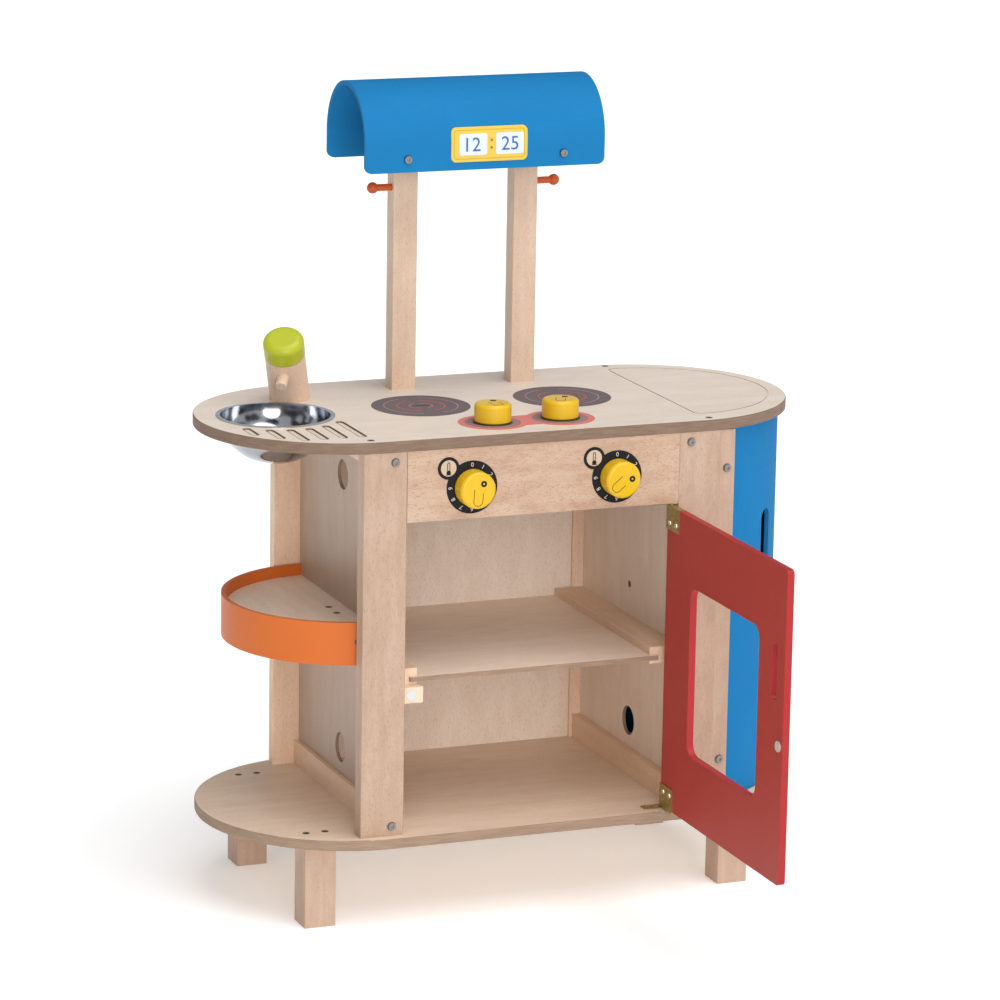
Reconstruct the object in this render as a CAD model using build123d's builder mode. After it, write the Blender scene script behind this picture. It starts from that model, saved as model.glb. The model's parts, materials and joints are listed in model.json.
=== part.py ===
from build123d import *
from math import atan2, cos, degrees, radians, sin, sqrt
import os

os.makedirs("parts", exist_ok=True)

# A play kitchen. The origin is on the floor under the middle of the cabinet, +Z is up and -Y is the front.
# All lengths are in millimetres.

# Fits and small clearances
turning_play = 0.06
screw_play = 0.1
groove_play = 0.1
edge_round = 1.5

# Base board and feet
base_length = 684
base_depth = 336
base_thickness = 12
foot_size = 36
foot_height = 92
foot_x = 248.5
foot_y = 118
foot_screw_spread = 22
base_top = foot_height + base_thickness

# Worktop
worktop_length = 690
worktop_depth = 318
worktop_thickness = 13
worktop_height = 548
worktop_under = worktop_height - worktop_thickness
worktop_end_radius = worktop_depth / 2
worktop_end_x = (worktop_length - worktop_depth) / 2

# Cabinet frame
cabinet_width = 420
cabinet_depth = 314
post_width = 50
post_depth = 20
stile_depth = 14
rail_thickness = 20
rail_height = 28
rail_setback = 4
side_panel_thickness = 4
side_panel_setback = 10
panel_tongue = 6
panel_hole_diameter = 34
panel_hole_rise = 30
back_panel_thickness = 4
back_panel_inset = 6
control_panel_height = 79
control_panel_thickness = 18

front_y = -cabinet_depth / 2
back_y = cabinet_depth / 2
opening_x = cabinet_width / 2 - post_width
post_x = opening_x + post_width / 2
post_back_y = front_y + post_depth
stile_front_y = back_y - stile_depth
rail_x = opening_x + rail_setback + rail_thickness / 2
rail_length = stile_front_y - post_back_y
rail_y = (stile_front_y + post_back_y) / 2
cabinet_height = worktop_under - base_top
rail_top = base_top + rail_height
rail_under = worktop_under - rail_height
panel_inner_x = opening_x + rail_setback + side_panel_setback
panel_x = panel_inner_x + side_panel_thickness / 2
panel_outer_x = panel_inner_x + side_panel_thickness
back_panel_y = back_y - back_panel_inset - back_panel_thickness / 2
back_panel_front_y = back_panel_y - back_panel_thickness / 2
control_panel_under = worktop_under - control_panel_height
control_panel_y = front_y + control_panel_thickness / 2

# Screws with round heads, and wood screws with flat heads
head_diameter = 10
head_height = 2.6
head_taper = 18
socket_width = 4
frame_screw_diameter = 6
frame_screw_length = 60
frame_screw_offset = 11
wood_head_diameter = 8
wood_screw_diameter = 4
wood_screw_length = 34
short_screw_length = 24
worktop_screw_offset = 39
arm_screw_spread = 12
post_screw_spread = 14

# Middle shelf in its grooved runners
shelf_top = 278
shelf_thickness = 5.5
shelf_front_gap = 16
runner_height = 19
runner_above_shelf = 9
runner_inner_x = 139
runner_groove_depth = 9

# Knobs, their pins and the printed dials
knob_diameter = 41
knob_height = 21
knob_gap = 0.4
knob_round = 4
knob_pin_diameter = 8
knob_pin_reach = 14
knob_pin_head_diameter = 15
knob_pin_head_height = 3
washer_diameter = 44
washer_thickness = 1.2
print_thickness = 0.3
dial_diameter = 59
dial_badge_diameter = 25
dial_badge_x = -27.5
dial_badge_z = 22.5
dial_x = 85.4
dial_z = 491
hob_knob_x = 40
hob_knob_y = -100.5

# Printed hobs on the worktop
hob_diameter = 111
hob_x = 85
hob_y = 4
knob_zone_diameter = 77
knob_zone_waist = 48

# Sink, drain grooves and the cutting board line
sink_x = -256
sink_y = 4
bowl_rim_diameter = 132
bowl_diameter = 124
bowl_depth = 53
bowl_wall = 1
sink_hole_play = 1
drain_count = 6
drain_pitch = 21.7
drain_width = 8
drain_depth = 1.6
drain_first_x = -200
drain_sink_gap = 5
drain_front_y = -128
drain_edge_gap = 9
board_line_x = 193
board_line_radius = 130
board_line_end_gap = 17
board_line_y = 4
board_line_width = 1.4
board_line_depth = 0.6
board_corner = 11

# Tap, leaning towards the sink
tap_x = -210.5
tap_y = 87.5
tap_lean = 32
tap_diameter = 45
tap_body_length = 68
tap_cap_diameter = 46
tap_cap_height = 24
tap_cap_round = 9
tap_cap_gap = 0.4
tap_pin_diameter = 8
tap_pin_depth = 16
spout_diameter = 13
spout_height = 52.5
spout_reach = 15
spout_seat = 12

# Hood on its two posts
hood_post_inner_x = 58
hood_post_width = 29
hood_post_depth = 22
hood_post_front_y = 93
hood_post_top = 832
hood_length = 286
hood_radius = 64.5
hood_wall = 5
hood_axis_y = 97.5
hood_axis_z = 837.5
hood_under = 806.5
hood_corner = 8
arm_thickness = 12
arm_height = 24
arm_z = 821
hood_screw_length = 22
clock_width = 91
clock_height = 39
clock_x = 3.5
clock_z = 835
clock_thickness = 0.8
clock_corner = 6
peg_z = 779.5
peg_y = 101
peg_diameter = 8
peg_head_diameter = 13
peg_reach = 22.5
peg_depth = 12

# Oven door, shown standing open at a right angle to the cabinet
door_width = 316
door_thickness = 8
door_bottom_gap = 3
door_top_gap = 3
door_corner = 5
window_margin = 70
window_width = 181
window_height = 191.5
window_z = 280
window_corner = 15
door_slot_length = 64
door_slot_width = 13
door_slot_margin = 25
door_slot_z = 338
pivot_edge = 4
hinge_flat = 0.05
pivot_side_gap = 2
pivot_pin_diameter = 5
pivot_pin_bite = 8
leaf_thickness = 1.2
leaf_foot_thickness = 1
leaf_width = 34
leaf_height = 26
leaf_edge_gap = 2
plate_thickness = 1.2
plate_width = 30
plate_depth = 13
plate_edge_gap = 0.5
plate_side_gap = 1
plate_screw_head = 4.8
plate_screw_diameter = 2.4
plate_screw_length = 8
plate_screw_offsets = (14, 24)
leaf_screw_head = 6
leaf_screw_head_height = 1
leaf_screw_offsets = (10, 27)
leaf_screw_edge = 8
leaf_screw_length = 7
striker_diameter = 12
striker_thickness = 1.5
striker_margin = 10
catch_z = 259
catch_gap = 0.4
magnet_length = 8
magnet_proud = 0.5
catch_block_width = 25
catch_block_height = 18

# Round-ended shelf with its bent rail on the left
side_shelf_top = 329
side_shelf_thickness = 12
side_shelf_x = -172
side_shelf_y = 3
rail_band_top = 342
rail_band_height = 48
rail_band_radius = 139.5
rail_band_wall = 5
rail_band_gap = 0.5
band_screw_angle = 14.5
band_screw_z = 320.5
band_screw_diameter = 3
band_screw_head = 6
band_screw_length = 20
cleat_width = 26
cleat_height = 16
cleat_length = 120
cleat_y = -24
shelf_screw_rows = (-10, -37)
shelf_screw_x = 19
side_screw_y = 5

# Curved fridge door on the right
fridge_radius = 145
fridge_wall = 5
fridge_gap = 1
fridge_side_gap = 1
fridge_strip_width = 19
fridge_strip_y = 152
fridge_pivot_edge = 6
fridge_pin_diameter = 4
fridge_pin_bite = 8
fridge_centre_x = 192
fridge_shelf_gap = 4
fridge_slot_angle = 43
fridge_slot_length = 75
fridge_slot_width = 22
fridge_slot_top = 429
strip_screw_bottom_inset = 48.8
strip_screw_top_inset = 43.5
strip_screw_length = 14


def bore(plane, radius, depth):
    """Cut a round hole into the part being built, down from the plane."""
    with BuildSketch(plane) as outline:
        Circle(radius)
    extrude(outline.sketch, amount=-depth, mode=Mode.SUBTRACT)


def countersink(plane, head, shank, length):
    """Cut the seat and hole of a flat-headed screw, down from the plane."""
    bore(plane, shank / 2 + screw_play, length + 1)
    with BuildSketch(plane) as mouth:
        Circle(head / 2 + screw_play)
    with BuildSketch(plane.offset(-(head - shank) / 2)) as throat:
        Circle(shank / 2 + screw_play)
    loft([mouth.sketch, throat.sketch], mode=Mode.SUBTRACT)


def rod(plane, radius, length):
    """Add a round rod to the part being built, down from the plane."""
    with BuildSketch(plane) as outline:
        Circle(radius)
    extrude(outline.sketch, amount=-length)


def flat_screw(plane, head, shank, length):
    """Add a flat-headed wood screw whose head is level with the plane."""
    cone = (head - shank) / 2
    with BuildSketch(plane) as rim:
        Circle(head / 2)
    with BuildSketch(plane.offset(-cone)) as neck:
        Circle(shank / 2)
    loft([rim.sketch, neck.sketch])
    rod(plane.offset(-cone), shank / 2, length - cone)
    with BuildSketch(plane) as cross:
        Rectangle(head / 2, head / 8)
        Rectangle(head / 8, head / 2)
    extrude(cross.sketch, amount=-cone / 2, mode=Mode.SUBTRACT)


def round_screw(plane, head, height, shank, length):
    """Add a screw with a domed socket head that stands on the plane."""
    with BuildSketch(plane) as rim:
        Circle(head / 2)
    extrude(rim.sketch, amount=height, taper=head_taper)
    rod(plane, shank / 2, length)
    with BuildSketch(plane.offset(height)) as socket:
        RegularPolygon(socket_width * head / head_diameter / 2, 6)
    extrude(socket.sketch, amount=-height / 2, mode=Mode.SUBTRACT)


def wood_screw_hole(plane):
    """Cut the countersunk hole of a long wood screw."""
    countersink(plane, wood_head_diameter, wood_screw_diameter, wood_screw_length)


def wood_screw_bite(plane):
    """Cut the plain hole of a long wood screw into the piece that it holds."""
    bore(plane, wood_screw_diameter / 2 + screw_play, wood_screw_length + 1)


def facing(x, y, z, direction):
    """Give a plane at a point whose normal is one of the main directions."""
    return Plane(origin=(x, y, z), z_dir=direction)


up = (0, 0, 1)
down = (0, 0, -1)
front = (0, -1, 0)
back = (0, 1, 0)
left = (-1, 0, 0)
right = (1, 0, 0)

# Places of the long wood screws
foot_screws_at = [
    facing(side * foot_x + step * foot_screw_spread / 2, end * foot_y, base_top, up)
    for side in (-1, 1)
    for end in (-1, 1)
    for step in (-1, 1)
]
worktop_screws_at = [
    facing(side * (opening_x + worktop_screw_offset), row, worktop_height, up)
    for side in (-1, 1)
    for row in (front_y + post_depth / 2, back_y - stile_depth / 2)
]
hood_post_x = hood_post_inner_x + hood_post_width / 2
hood_post_y = hood_post_front_y + hood_post_depth / 2
post_screws_at = [
    facing(side * hood_post_x + step * post_screw_spread / 2, hood_post_y, worktop_under, down)
    for side in (-1, 1)
    for step in (-1, 1)
]
arm_screws_at = [
    facing(side * hood_post_inner_x, hood_post_y, arm_z + step * arm_screw_spread / 2, (-side, 0, 0))
    for side in (-1, 1)
    for step in (-1, 1)
]
tap_screw_at = facing(tap_x, tap_y, worktop_under, down)

# Places of the round-headed frame screws
frame_screw_heights = (base_top + frame_screw_offset, worktop_under - frame_screw_offset)
front_screws_at = [
    facing(side * rail_x, front_y, height, front) for side in (-1, 1) for height in frame_screw_heights
]
back_screws_at = [
    facing(side * rail_x, back_y, height, back) for side in (-1, 1) for height in frame_screw_heights
]

# Places of the short wood screws, up through the half-round shelves or out through the side panels
shelf_screws_at = [
    facing(side * (panel_outer_x + shelf_screw_x), row, side_shelf_top, up)
    for side in (-1, 1)
    for row in shelf_screw_rows
]
side_shelf_z = side_shelf_top - side_shelf_thickness / 2
side_screws_at = [
    facing(side * panel_inner_x, side_screw_y, side_shelf_z, (-side, 0, 0)) for side in (-1, 1)
]

# Places of the four knobs, each with the plane of the face that it turns on
dial_places = [facing(side * dial_x, front_y, dial_z, front) for side in (-1, 1)]
hob_knob_places = [facing(side * hob_knob_x, hob_knob_y, worktop_height, up) for side in (-1, 1)]

# Oven door hinge line, and the plane of the open door's outer face
pivot_x = opening_x - pivot_side_gap - pivot_edge
pivot_y = front_y + door_thickness / 2
door_outer_x = pivot_x + door_thickness / 2
door_inner_x = door_outer_x - door_thickness
hinge_edge_y = pivot_y + pivot_edge
door_bottom = base_top + door_bottom_gap
door_top = control_panel_under - door_top_gap
door_plane = Plane(origin=(door_outer_x, hinge_edge_y, 0), x_dir=front, z_dir=left)
striker_reach = door_width - striker_margin
closed_striker_x = pivot_x + pivot_edge - striker_reach

# Fridge door hinge line
fridge_inner_x = cabinet_width / 2 + fridge_side_gap
fridge_pivot_x = fridge_inner_x + fridge_pivot_edge
fridge_pivot_y = fridge_strip_y - fridge_pivot_edge
fridge_bottom = base_top + fridge_gap
fridge_top = worktop_under - fridge_gap

# Hinge plates and the screws of the plates and leaves
plate_x = opening_x - plate_side_gap - plate_width / 2
plate_y = front_y + plate_edge_gap + plate_depth / 2
plate_screws_at = [
    facing(opening_x - plate_side_gap - offset, plate_y, plate_z, (0, 0, away))
    for plate_z, away in ((base_top + plate_thickness, 1), (control_panel_under - plate_thickness, -1))
    for offset in plate_screw_offsets
]
leaf_screws_at = [
    facing(door_inner_x - leaf_thickness, hinge_edge_y - leaf_edge_gap - offset, leaf_z, left)
    for leaf_z in (door_bottom + leaf_height - leaf_screw_edge, door_top - leaf_height + leaf_screw_edge)
    for offset in leaf_screw_offsets
]
pivot_gap = door_bottom_gap - leaf_foot_thickness / 2

# Screws of the bent rail, square to its curve near both ends
band_screws_at = [
    facing(
        side_shelf_x - rail_band_radius * sin(radians(band_screw_angle)),
        side_shelf_y + end * rail_band_radius * cos(radians(band_screw_angle)),
        band_screw_z,
        (-sin(radians(band_screw_angle)), end * cos(radians(band_screw_angle)), 0),
    )
    for end in (-1, 1)
]

# Screws of the fridge door's strips, and the strip faces that its pivot pins stand on
strip_screw_x = fridge_inner_x + fridge_strip_width / 2
strip_screw_heights = (fridge_bottom + strip_screw_bottom_inset, fridge_top - strip_screw_top_inset)
front_strip_screws_at = [
    facing(strip_screw_x, -fridge_strip_y, height, front) for height in strip_screw_heights
]
back_strip_screws_at = [
    facing(strip_screw_x, fridge_strip_y, height, back) for height in strip_screw_heights
]
fridge_pin_faces = [
    facing(fridge_pivot_x, fridge_pivot_y, fridge_bottom, down),
    facing(fridge_pivot_x, fridge_pivot_y, fridge_top, up),
]

# Tap: the axis leans from its foot towards the middle of the sink
tap_turn = degrees(atan2(sink_y - tap_y, sink_x - tap_x))
tap_direction = (
    sin(radians(tap_lean)) * cos(radians(tap_turn)),
    sin(radians(tap_lean)) * sin(radians(tap_turn)),
    cos(radians(tap_lean)),
)
tap_across = (-sin(radians(tap_turn)), cos(radians(tap_turn)), 0)
tap_foot = Plane(origin=(tap_x, tap_y, worktop_height), x_dir=tap_across, z_dir=tap_direction)
spout_direction = (
    cos(radians(tap_lean)) * cos(radians(tap_turn)),
    cos(radians(tap_lean)) * sin(radians(tap_turn)),
    -sin(radians(tap_lean)),
)
spout_plane = Plane(origin=tap_foot.offset(spout_height).origin, z_dir=spout_direction)

# Base board
with BuildPart() as base_board:
    with BuildSketch(Plane.XY.offset(foot_height)):
        SlotOverall(base_length, base_depth)
    extrude(amount=base_thickness)
    fillet(base_board.edges().group_by(Axis.Z)[-1], edge_round)
    fillet(base_board.edges().group_by(Axis.Z)[0], edge_round)
    for place in foot_screws_at:
        wood_screw_hole(place)
    bore(facing(pivot_x, pivot_y, base_top, up), pivot_pin_diameter / 2 + turning_play, pivot_pin_bite + 1)
    fridge_pin_seat = facing(fridge_pivot_x, fridge_pivot_y, base_top, up)
    bore(fridge_pin_seat, fridge_pin_diameter / 2 + turning_play, fridge_pin_bite + 1)
    for place in plate_screws_at:
        countersink(place, plate_screw_head, plate_screw_diameter, plate_screw_length)
base_board.part.label = "base_board"
export_step(base_board.part, "parts/base_board.step")

# Feet
for side, side_word in ((-1, "left"), (1, "right")):
    for end, end_word in ((-1, "front"), (1, "back")):
        with BuildPart() as foot:
            with BuildSketch():
                with Locations((side * foot_x, end * foot_y)):
                    Rectangle(foot_size, foot_size)
            extrude(amount=foot_height)
            fillet(foot.edges().filter_by(Axis.Z), edge_round)
            for place in foot_screws_at:
                wood_screw_bite(place)
        foot.part.label = f"foot_{end_word}_{side_word}"
        export_step(foot.part, f"parts/foot_{end_word}_{side_word}.step")

# Long wood screws, countersunk in the base, the worktop and the hood posts
with BuildPart() as wood_screws:
    for place in foot_screws_at + worktop_screws_at + post_screws_at + arm_screws_at + [tap_screw_at]:
        flat_screw(place, wood_head_diameter, wood_screw_diameter, wood_screw_length)
wood_screws.part.label = "wood_screws"
export_step(wood_screws.part, "parts/wood_screws.step")

# Posts, stiles and side panels, a left and a right one of each
for side, side_word in ((-1, "left"), (1, "right")):
    with BuildPart() as front_post:
        with BuildSketch(Plane.XY.offset(base_top)):
            with Locations((side * post_x, front_y + post_depth / 2)):
                Rectangle(post_width, post_depth)
        extrude(amount=cabinet_height)
        fillet(front_post.edges().filter_by(Axis.Z), edge_round)
        with BuildSketch(Plane.XY.offset(base_top)):
            with Locations((side * panel_x, post_back_y - panel_tongue / 2)):
                Rectangle(side_panel_thickness + 2 * groove_play, panel_tongue + 2 * groove_play)
        extrude(amount=cabinet_height, mode=Mode.SUBTRACT)
        for place in front_screws_at:
            bore(place, frame_screw_diameter / 2 + screw_play, post_depth)
        for place in worktop_screws_at:
            wood_screw_bite(place)
    front_post.part.label = f"front_post_{side_word}"
    export_step(front_post.part, f"parts/front_post_{side_word}.step")

    with BuildPart() as back_stile:
        with BuildSketch(Plane.XY.offset(base_top)):
            with Locations((side * post_x, back_y - stile_depth / 2)):
                Rectangle(post_width, stile_depth)
        extrude(amount=cabinet_height)
        fillet(back_stile.edges().filter_by(Axis.Z), edge_round)
        with BuildSketch(Plane.XY.offset(base_top)):
            with Locations((side * panel_x, stile_front_y + panel_tongue / 2)):
                Rectangle(side_panel_thickness + 2 * groove_play, panel_tongue + 2 * groove_play)
            with Locations((side * (opening_x + panel_tongue / 2), back_panel_y)):
                Rectangle(panel_tongue + 2 * groove_play, back_panel_thickness + 2 * groove_play)
        extrude(amount=cabinet_height, mode=Mode.SUBTRACT)
        for place in back_screws_at:
            bore(place, frame_screw_diameter / 2 + screw_play, stile_depth)
        for place in worktop_screws_at:
            wood_screw_bite(place)
    back_stile.part.label = f"back_stile_{side_word}"
    export_step(back_stile.part, f"parts/back_stile_{side_word}.step")

    with BuildPart() as side_panel:
        with BuildSketch(Plane.XY.offset(rail_top - panel_tongue)):
            with Locations((side * panel_x, rail_y)):
                Rectangle(side_panel_thickness, rail_length + 2 * panel_tongue)
        extrude(amount=rail_under - rail_top + 2 * panel_tongue)
        hole_face = side * (panel_outer_x + 1)
        for height in (rail_top + panel_hole_rise, rail_under - panel_hole_rise):
            hole = facing(hole_face, 0, height, (side, 0, 0))
            bore(hole, panel_hole_diameter / 2, side_panel_thickness + 2)
        for place in side_screws_at:
            countersink(place, wood_head_diameter, wood_screw_diameter, side_panel_thickness)
    side_panel.part.label = f"side_panel_{side_word}"
    export_step(side_panel.part, f"parts/side_panel_{side_word}.step")

# Rails that join the posts to the stiles, grooved for the side panels
with BuildPart() as side_rails:
    for rail_bottom, groove_bottom in ((base_top, rail_top - panel_tongue), (rail_under, rail_under)):
        for side in (-1, 1):
            with BuildSketch(Plane.XY.offset(rail_bottom)):
                with Locations((side * rail_x, rail_y)):
                    Rectangle(rail_thickness, rail_length)
            extrude(amount=rail_height)
            with BuildSketch(Plane.XY.offset(groove_bottom - groove_play)):
                with Locations((side * panel_x, rail_y)):
                    Rectangle(side_panel_thickness + 2 * groove_play, rail_length)
            extrude(amount=panel_tongue + 2 * groove_play, mode=Mode.SUBTRACT)
    for place in front_screws_at + back_screws_at:
        bore(place, frame_screw_diameter / 2 + screw_play, frame_screw_length + 1)
side_rails.part.label = "side_rails"
export_step(side_rails.part, "parts/side_rails.step")

# Frame screws
with BuildPart() as frame_screws:
    for place in front_screws_at + back_screws_at:
        round_screw(place, head_diameter, head_height, frame_screw_diameter, frame_screw_length)
frame_screws.part.label = "frame_screws"
export_step(frame_screws.part, "parts/frame_screws.step")

# Back panel
with BuildPart() as back_panel:
    with BuildSketch(Plane.XY.offset(base_top)):
        with Locations((0, back_panel_y)):
            Rectangle(2 * (opening_x + panel_tongue), back_panel_thickness)
    extrude(amount=cabinet_height)
back_panel.part.label = "back_panel"
export_step(back_panel.part, "parts/back_panel.step")

# Control panel
with BuildPart() as control_panel:
    with BuildSketch(Plane.XY.offset(control_panel_under)):
        with Locations((0, control_panel_y)):
            Rectangle(2 * opening_x, control_panel_thickness)
    extrude(amount=control_panel_height)
    for place in dial_places:
        bore(place, knob_pin_diameter / 2, control_panel_thickness)
    pivot_seat = facing(pivot_x, pivot_y, control_panel_under, down)
    bore(pivot_seat, pivot_pin_diameter / 2 + turning_play, pivot_pin_bite + 1)
    for place in plate_screws_at:
        countersink(place, plate_screw_head, plate_screw_diameter, plate_screw_length)
control_panel.part.label = "control_panel"
export_step(control_panel.part, "parts/control_panel.step")

# Shelf runners
with BuildPart() as shelf_runners:
    for side in (-1, 1):
        with BuildSketch(Plane.XY.offset(shelf_top + runner_above_shelf - runner_height)):
            with Locations((side * (runner_inner_x + panel_inner_x) / 2, rail_y)):
                Rectangle(panel_inner_x - runner_inner_x, rail_length)
        extrude(amount=runner_height)
        with BuildSketch(Plane.XY.offset(shelf_top - shelf_thickness - groove_play)):
            with Locations((side * (runner_inner_x + runner_groove_depth / 2), rail_y)):
                Rectangle(runner_groove_depth + groove_play, rail_length)
        extrude(amount=shelf_thickness + 2 * groove_play, mode=Mode.SUBTRACT)
shelf_runners.part.label = "shelf_runners"
export_step(shelf_runners.part, "parts/shelf_runners.step")

# Middle shelf
with BuildPart() as middle_shelf:
    shelf_front_y = front_y + shelf_front_gap
    with BuildSketch(Plane.XY.offset(shelf_top - shelf_thickness)):
        with Locations((0, (shelf_front_y + back_panel_front_y) / 2)):
            shelf_half = runner_inner_x + runner_groove_depth - groove_play
            Rectangle(2 * shelf_half, back_panel_front_y - shelf_front_y)
    extrude(amount=shelf_thickness)
middle_shelf.part.label = "middle_shelf"
export_step(middle_shelf.part, "parts/middle_shelf.step")

# Worktop with the sink hole, the drain grooves and the cutting board line
with BuildPart() as worktop:
    with BuildSketch(Plane.XY.offset(worktop_under)):
        SlotOverall(worktop_length, worktop_depth)
    extrude(amount=worktop_thickness)
    fillet(worktop.edges().group_by(Axis.Z)[-1], edge_round)
    fillet(worktop.edges().group_by(Axis.Z)[0], edge_round)
    bore(facing(sink_x, sink_y, worktop_height, up), bowl_diameter / 2 + sink_hole_play, worktop_thickness)
    with BuildSketch(Plane.XY.offset(worktop_height)):
        for number in range(drain_count):
            groove_x = drain_first_x - number * drain_pitch
            rim_reach = bowl_rim_diameter / 2 + drain_sink_gap + drain_width / 2
            groove_back_y = sink_y - sqrt(rim_reach**2 - (groove_x - sink_x) ** 2)
            edge_reach = worktop_end_radius - drain_edge_gap
            groove_edge_y = -sqrt(edge_reach**2 - (groove_x + worktop_end_x) ** 2)
            groove_front_y = max(groove_edge_y, drain_front_y)
            with Locations((groove_x, (groove_back_y + groove_front_y) / 2)):
                SlotOverall(groove_back_y - groove_front_y, drain_width, rotation=90)
    extrude(amount=-drain_depth, mode=Mode.SUBTRACT)
    with BuildSketch(Plane.XY.offset(worktop_height)):
        board_centre_x = worktop_length / 2 - board_line_end_gap - board_line_radius
        with Locations((board_centre_x, board_line_y)):
            Circle(board_line_radius)
        with Locations((board_line_x, 0)):
            Rectangle(worktop_length, worktop_length, align=(Align.MIN, Align.CENTER), mode=Mode.INTERSECT)
        fillet(vertices(), board_corner)
        offset(amount=-board_line_width, mode=Mode.SUBTRACT)
    extrude(amount=-board_line_depth, mode=Mode.SUBTRACT)
    for place in worktop_screws_at + post_screws_at + [tap_screw_at]:
        wood_screw_hole(place)
    for place in hob_knob_places:
        bore(place, knob_pin_diameter / 2, worktop_thickness)
    fridge_pin_seat = facing(fridge_pivot_x, fridge_pivot_y, worktop_under, down)
    bore(fridge_pin_seat, fridge_pin_diameter / 2 + turning_play, fridge_pin_bite + 1)
worktop.part.label = "worktop"
export_step(worktop.part, "parts/worktop.step")

# Printed hobs
with BuildPart() as hob_prints:
    with BuildSketch(Plane.XY.offset(worktop_height)):
        with Locations((-hob_x, hob_y), (hob_x, hob_y)):
            Circle(hob_diameter / 2)
    extrude(amount=print_thickness)
hob_prints.part.label = "hob_prints"
export_step(hob_prints.part, "parts/hob_prints.step")

# Printed zone round the two worktop knobs
with BuildPart() as knob_zone_print:
    with BuildSketch(Plane.XY.offset(worktop_height)) as zone:
        with Locations((-hob_knob_x, hob_knob_y), (hob_knob_x, hob_knob_y)):
            Circle(knob_zone_diameter / 2)
        with Locations((0, hob_knob_y)):
            Rectangle(2 * hob_knob_x, knob_zone_waist)
        with Locations((-hob_knob_x, hob_knob_y), (hob_knob_x, hob_knob_y)):
            Circle(washer_diameter / 2 + groove_play, mode=Mode.SUBTRACT)
    extrude(amount=print_thickness)
knob_zone_print.part.label = "knob_zone_print"
export_step(knob_zone_print.part, "parts/knob_zone_print.step")

# Washers under the worktop knobs
with BuildPart() as knob_washers:
    for place in hob_knob_places:
        with BuildSketch(place) as ring:
            Circle(washer_diameter / 2)
            Circle(knob_pin_diameter / 2 + turning_play, mode=Mode.SUBTRACT)
        extrude(ring.sketch, amount=washer_thickness)
knob_washers.part.label = "knob_washers"
export_step(knob_washers.part, "parts/knob_washers.step")

# Printed dials on the control panel, each a disc with a round badge
with BuildPart() as dial_prints:
    with BuildSketch(Plane.XZ.offset(-front_y)):
        with Locations((-dial_x, dial_z), (dial_x, dial_z)):
            Circle(dial_diameter / 2)
            with Locations((dial_badge_x, dial_badge_z)):
                Circle(dial_badge_diameter / 2)
            Circle(knob_pin_diameter / 2 + turning_play, mode=Mode.SUBTRACT)
    extrude(amount=print_thickness)
dial_prints.part.label = "dial_prints"
export_step(dial_prints.part, "parts/dial_prints.step")

# Knob pins, pressed into the control panel and the worktop
with BuildPart() as knob_pins:
    for place, board in [(p, control_panel_thickness) for p in dial_places] + [
        (p, worktop_thickness) for p in hob_knob_places
    ]:
        rod(place.offset(knob_pin_reach), knob_pin_diameter / 2, knob_pin_reach + board)
        rod(place.offset(-board), knob_pin_head_diameter / 2, knob_pin_head_height)
knob_pins.part.label = "knob_pins"
export_step(knob_pins.part, "parts/knob_pins.step")

# Knobs
for place, lift, knob_name in (
    (dial_places[0], print_thickness, "knob_oven_left"),
    (dial_places[1], print_thickness, "knob_oven_right"),
    (hob_knob_places[0], washer_thickness, "knob_hob_left"),
    (hob_knob_places[1], washer_thickness, "knob_hob_right"),
):
    with BuildPart() as knob:
        with BuildSketch(place.offset(lift + knob_gap)):
            Circle(knob_diameter / 2)
        extrude(amount=knob_height)
        knob_axis = Axis(place.origin, place.z_dir)
        fillet(knob.edges().group_by(knob_axis)[-1], knob_round)
        fillet(knob.edges().group_by(knob_axis)[0], edge_round)
        seat = place.offset(knob_pin_reach + turning_play)
        bore(seat, knob_pin_diameter / 2 + turning_play, knob_pin_reach + 1)
    knob.part.label = knob_name
    export_step(knob.part, f"parts/{knob_name}.step")

# Sink bowl, a half ellipse of thin steel with a flat rim
with BuildPart() as sink_bowl:
    bowl_plane = Plane(origin=(sink_x, sink_y, worktop_height), x_dir=right, z_dir=front)
    with BuildSketch(bowl_plane):
        with BuildLine():
            EllipticalCenterArc((0, 0), bowl_diameter / 2, bowl_depth, start_angle=270, arc_size=90)
            Line((bowl_diameter / 2, 0), (bowl_rim_diameter / 2, 0))
            Line((bowl_rim_diameter / 2, 0), (bowl_rim_diameter / 2, bowl_wall))
            Line((bowl_rim_diameter / 2, bowl_wall), (bowl_diameter / 2 - bowl_wall, bowl_wall))
            Line((bowl_diameter / 2 - bowl_wall, bowl_wall), (bowl_diameter / 2 - bowl_wall, 0))
            inner_radius = bowl_diameter / 2 - bowl_wall
            inner_depth = bowl_depth - bowl_wall
            EllipticalCenterArc((0, 0), inner_radius, inner_depth, start_angle=270, arc_size=90)
            Line((0, -bowl_depth + bowl_wall), (0, -bowl_depth))
        make_face()
    revolve(axis=Axis((sink_x, sink_y, 0), (0, 0, 1)))
sink_bowl.part.label = "sink_bowl"
export_step(sink_bowl.part, "parts/sink_bowl.step")

# Tap body, cut level where it stands on the worktop
with BuildPart() as tap_body:
    with BuildSketch(tap_foot.offset(-tap_diameter)):
        Circle(tap_diameter / 2)
    extrude(amount=tap_body_length + tap_diameter)
    split(bisect_by=Plane.XY.offset(worktop_height), keep=Keep.TOP)
    bore(tap_foot.offset(tap_body_length), tap_pin_diameter / 2, tap_pin_depth)
    bore(spout_plane.offset(tap_diameter), spout_diameter / 2, tap_diameter / 2 + spout_seat)
    wood_screw_bite(tap_screw_at)
tap_body.part.label = "tap_body"
export_step(tap_body.part, "parts/tap_body.step")

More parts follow.
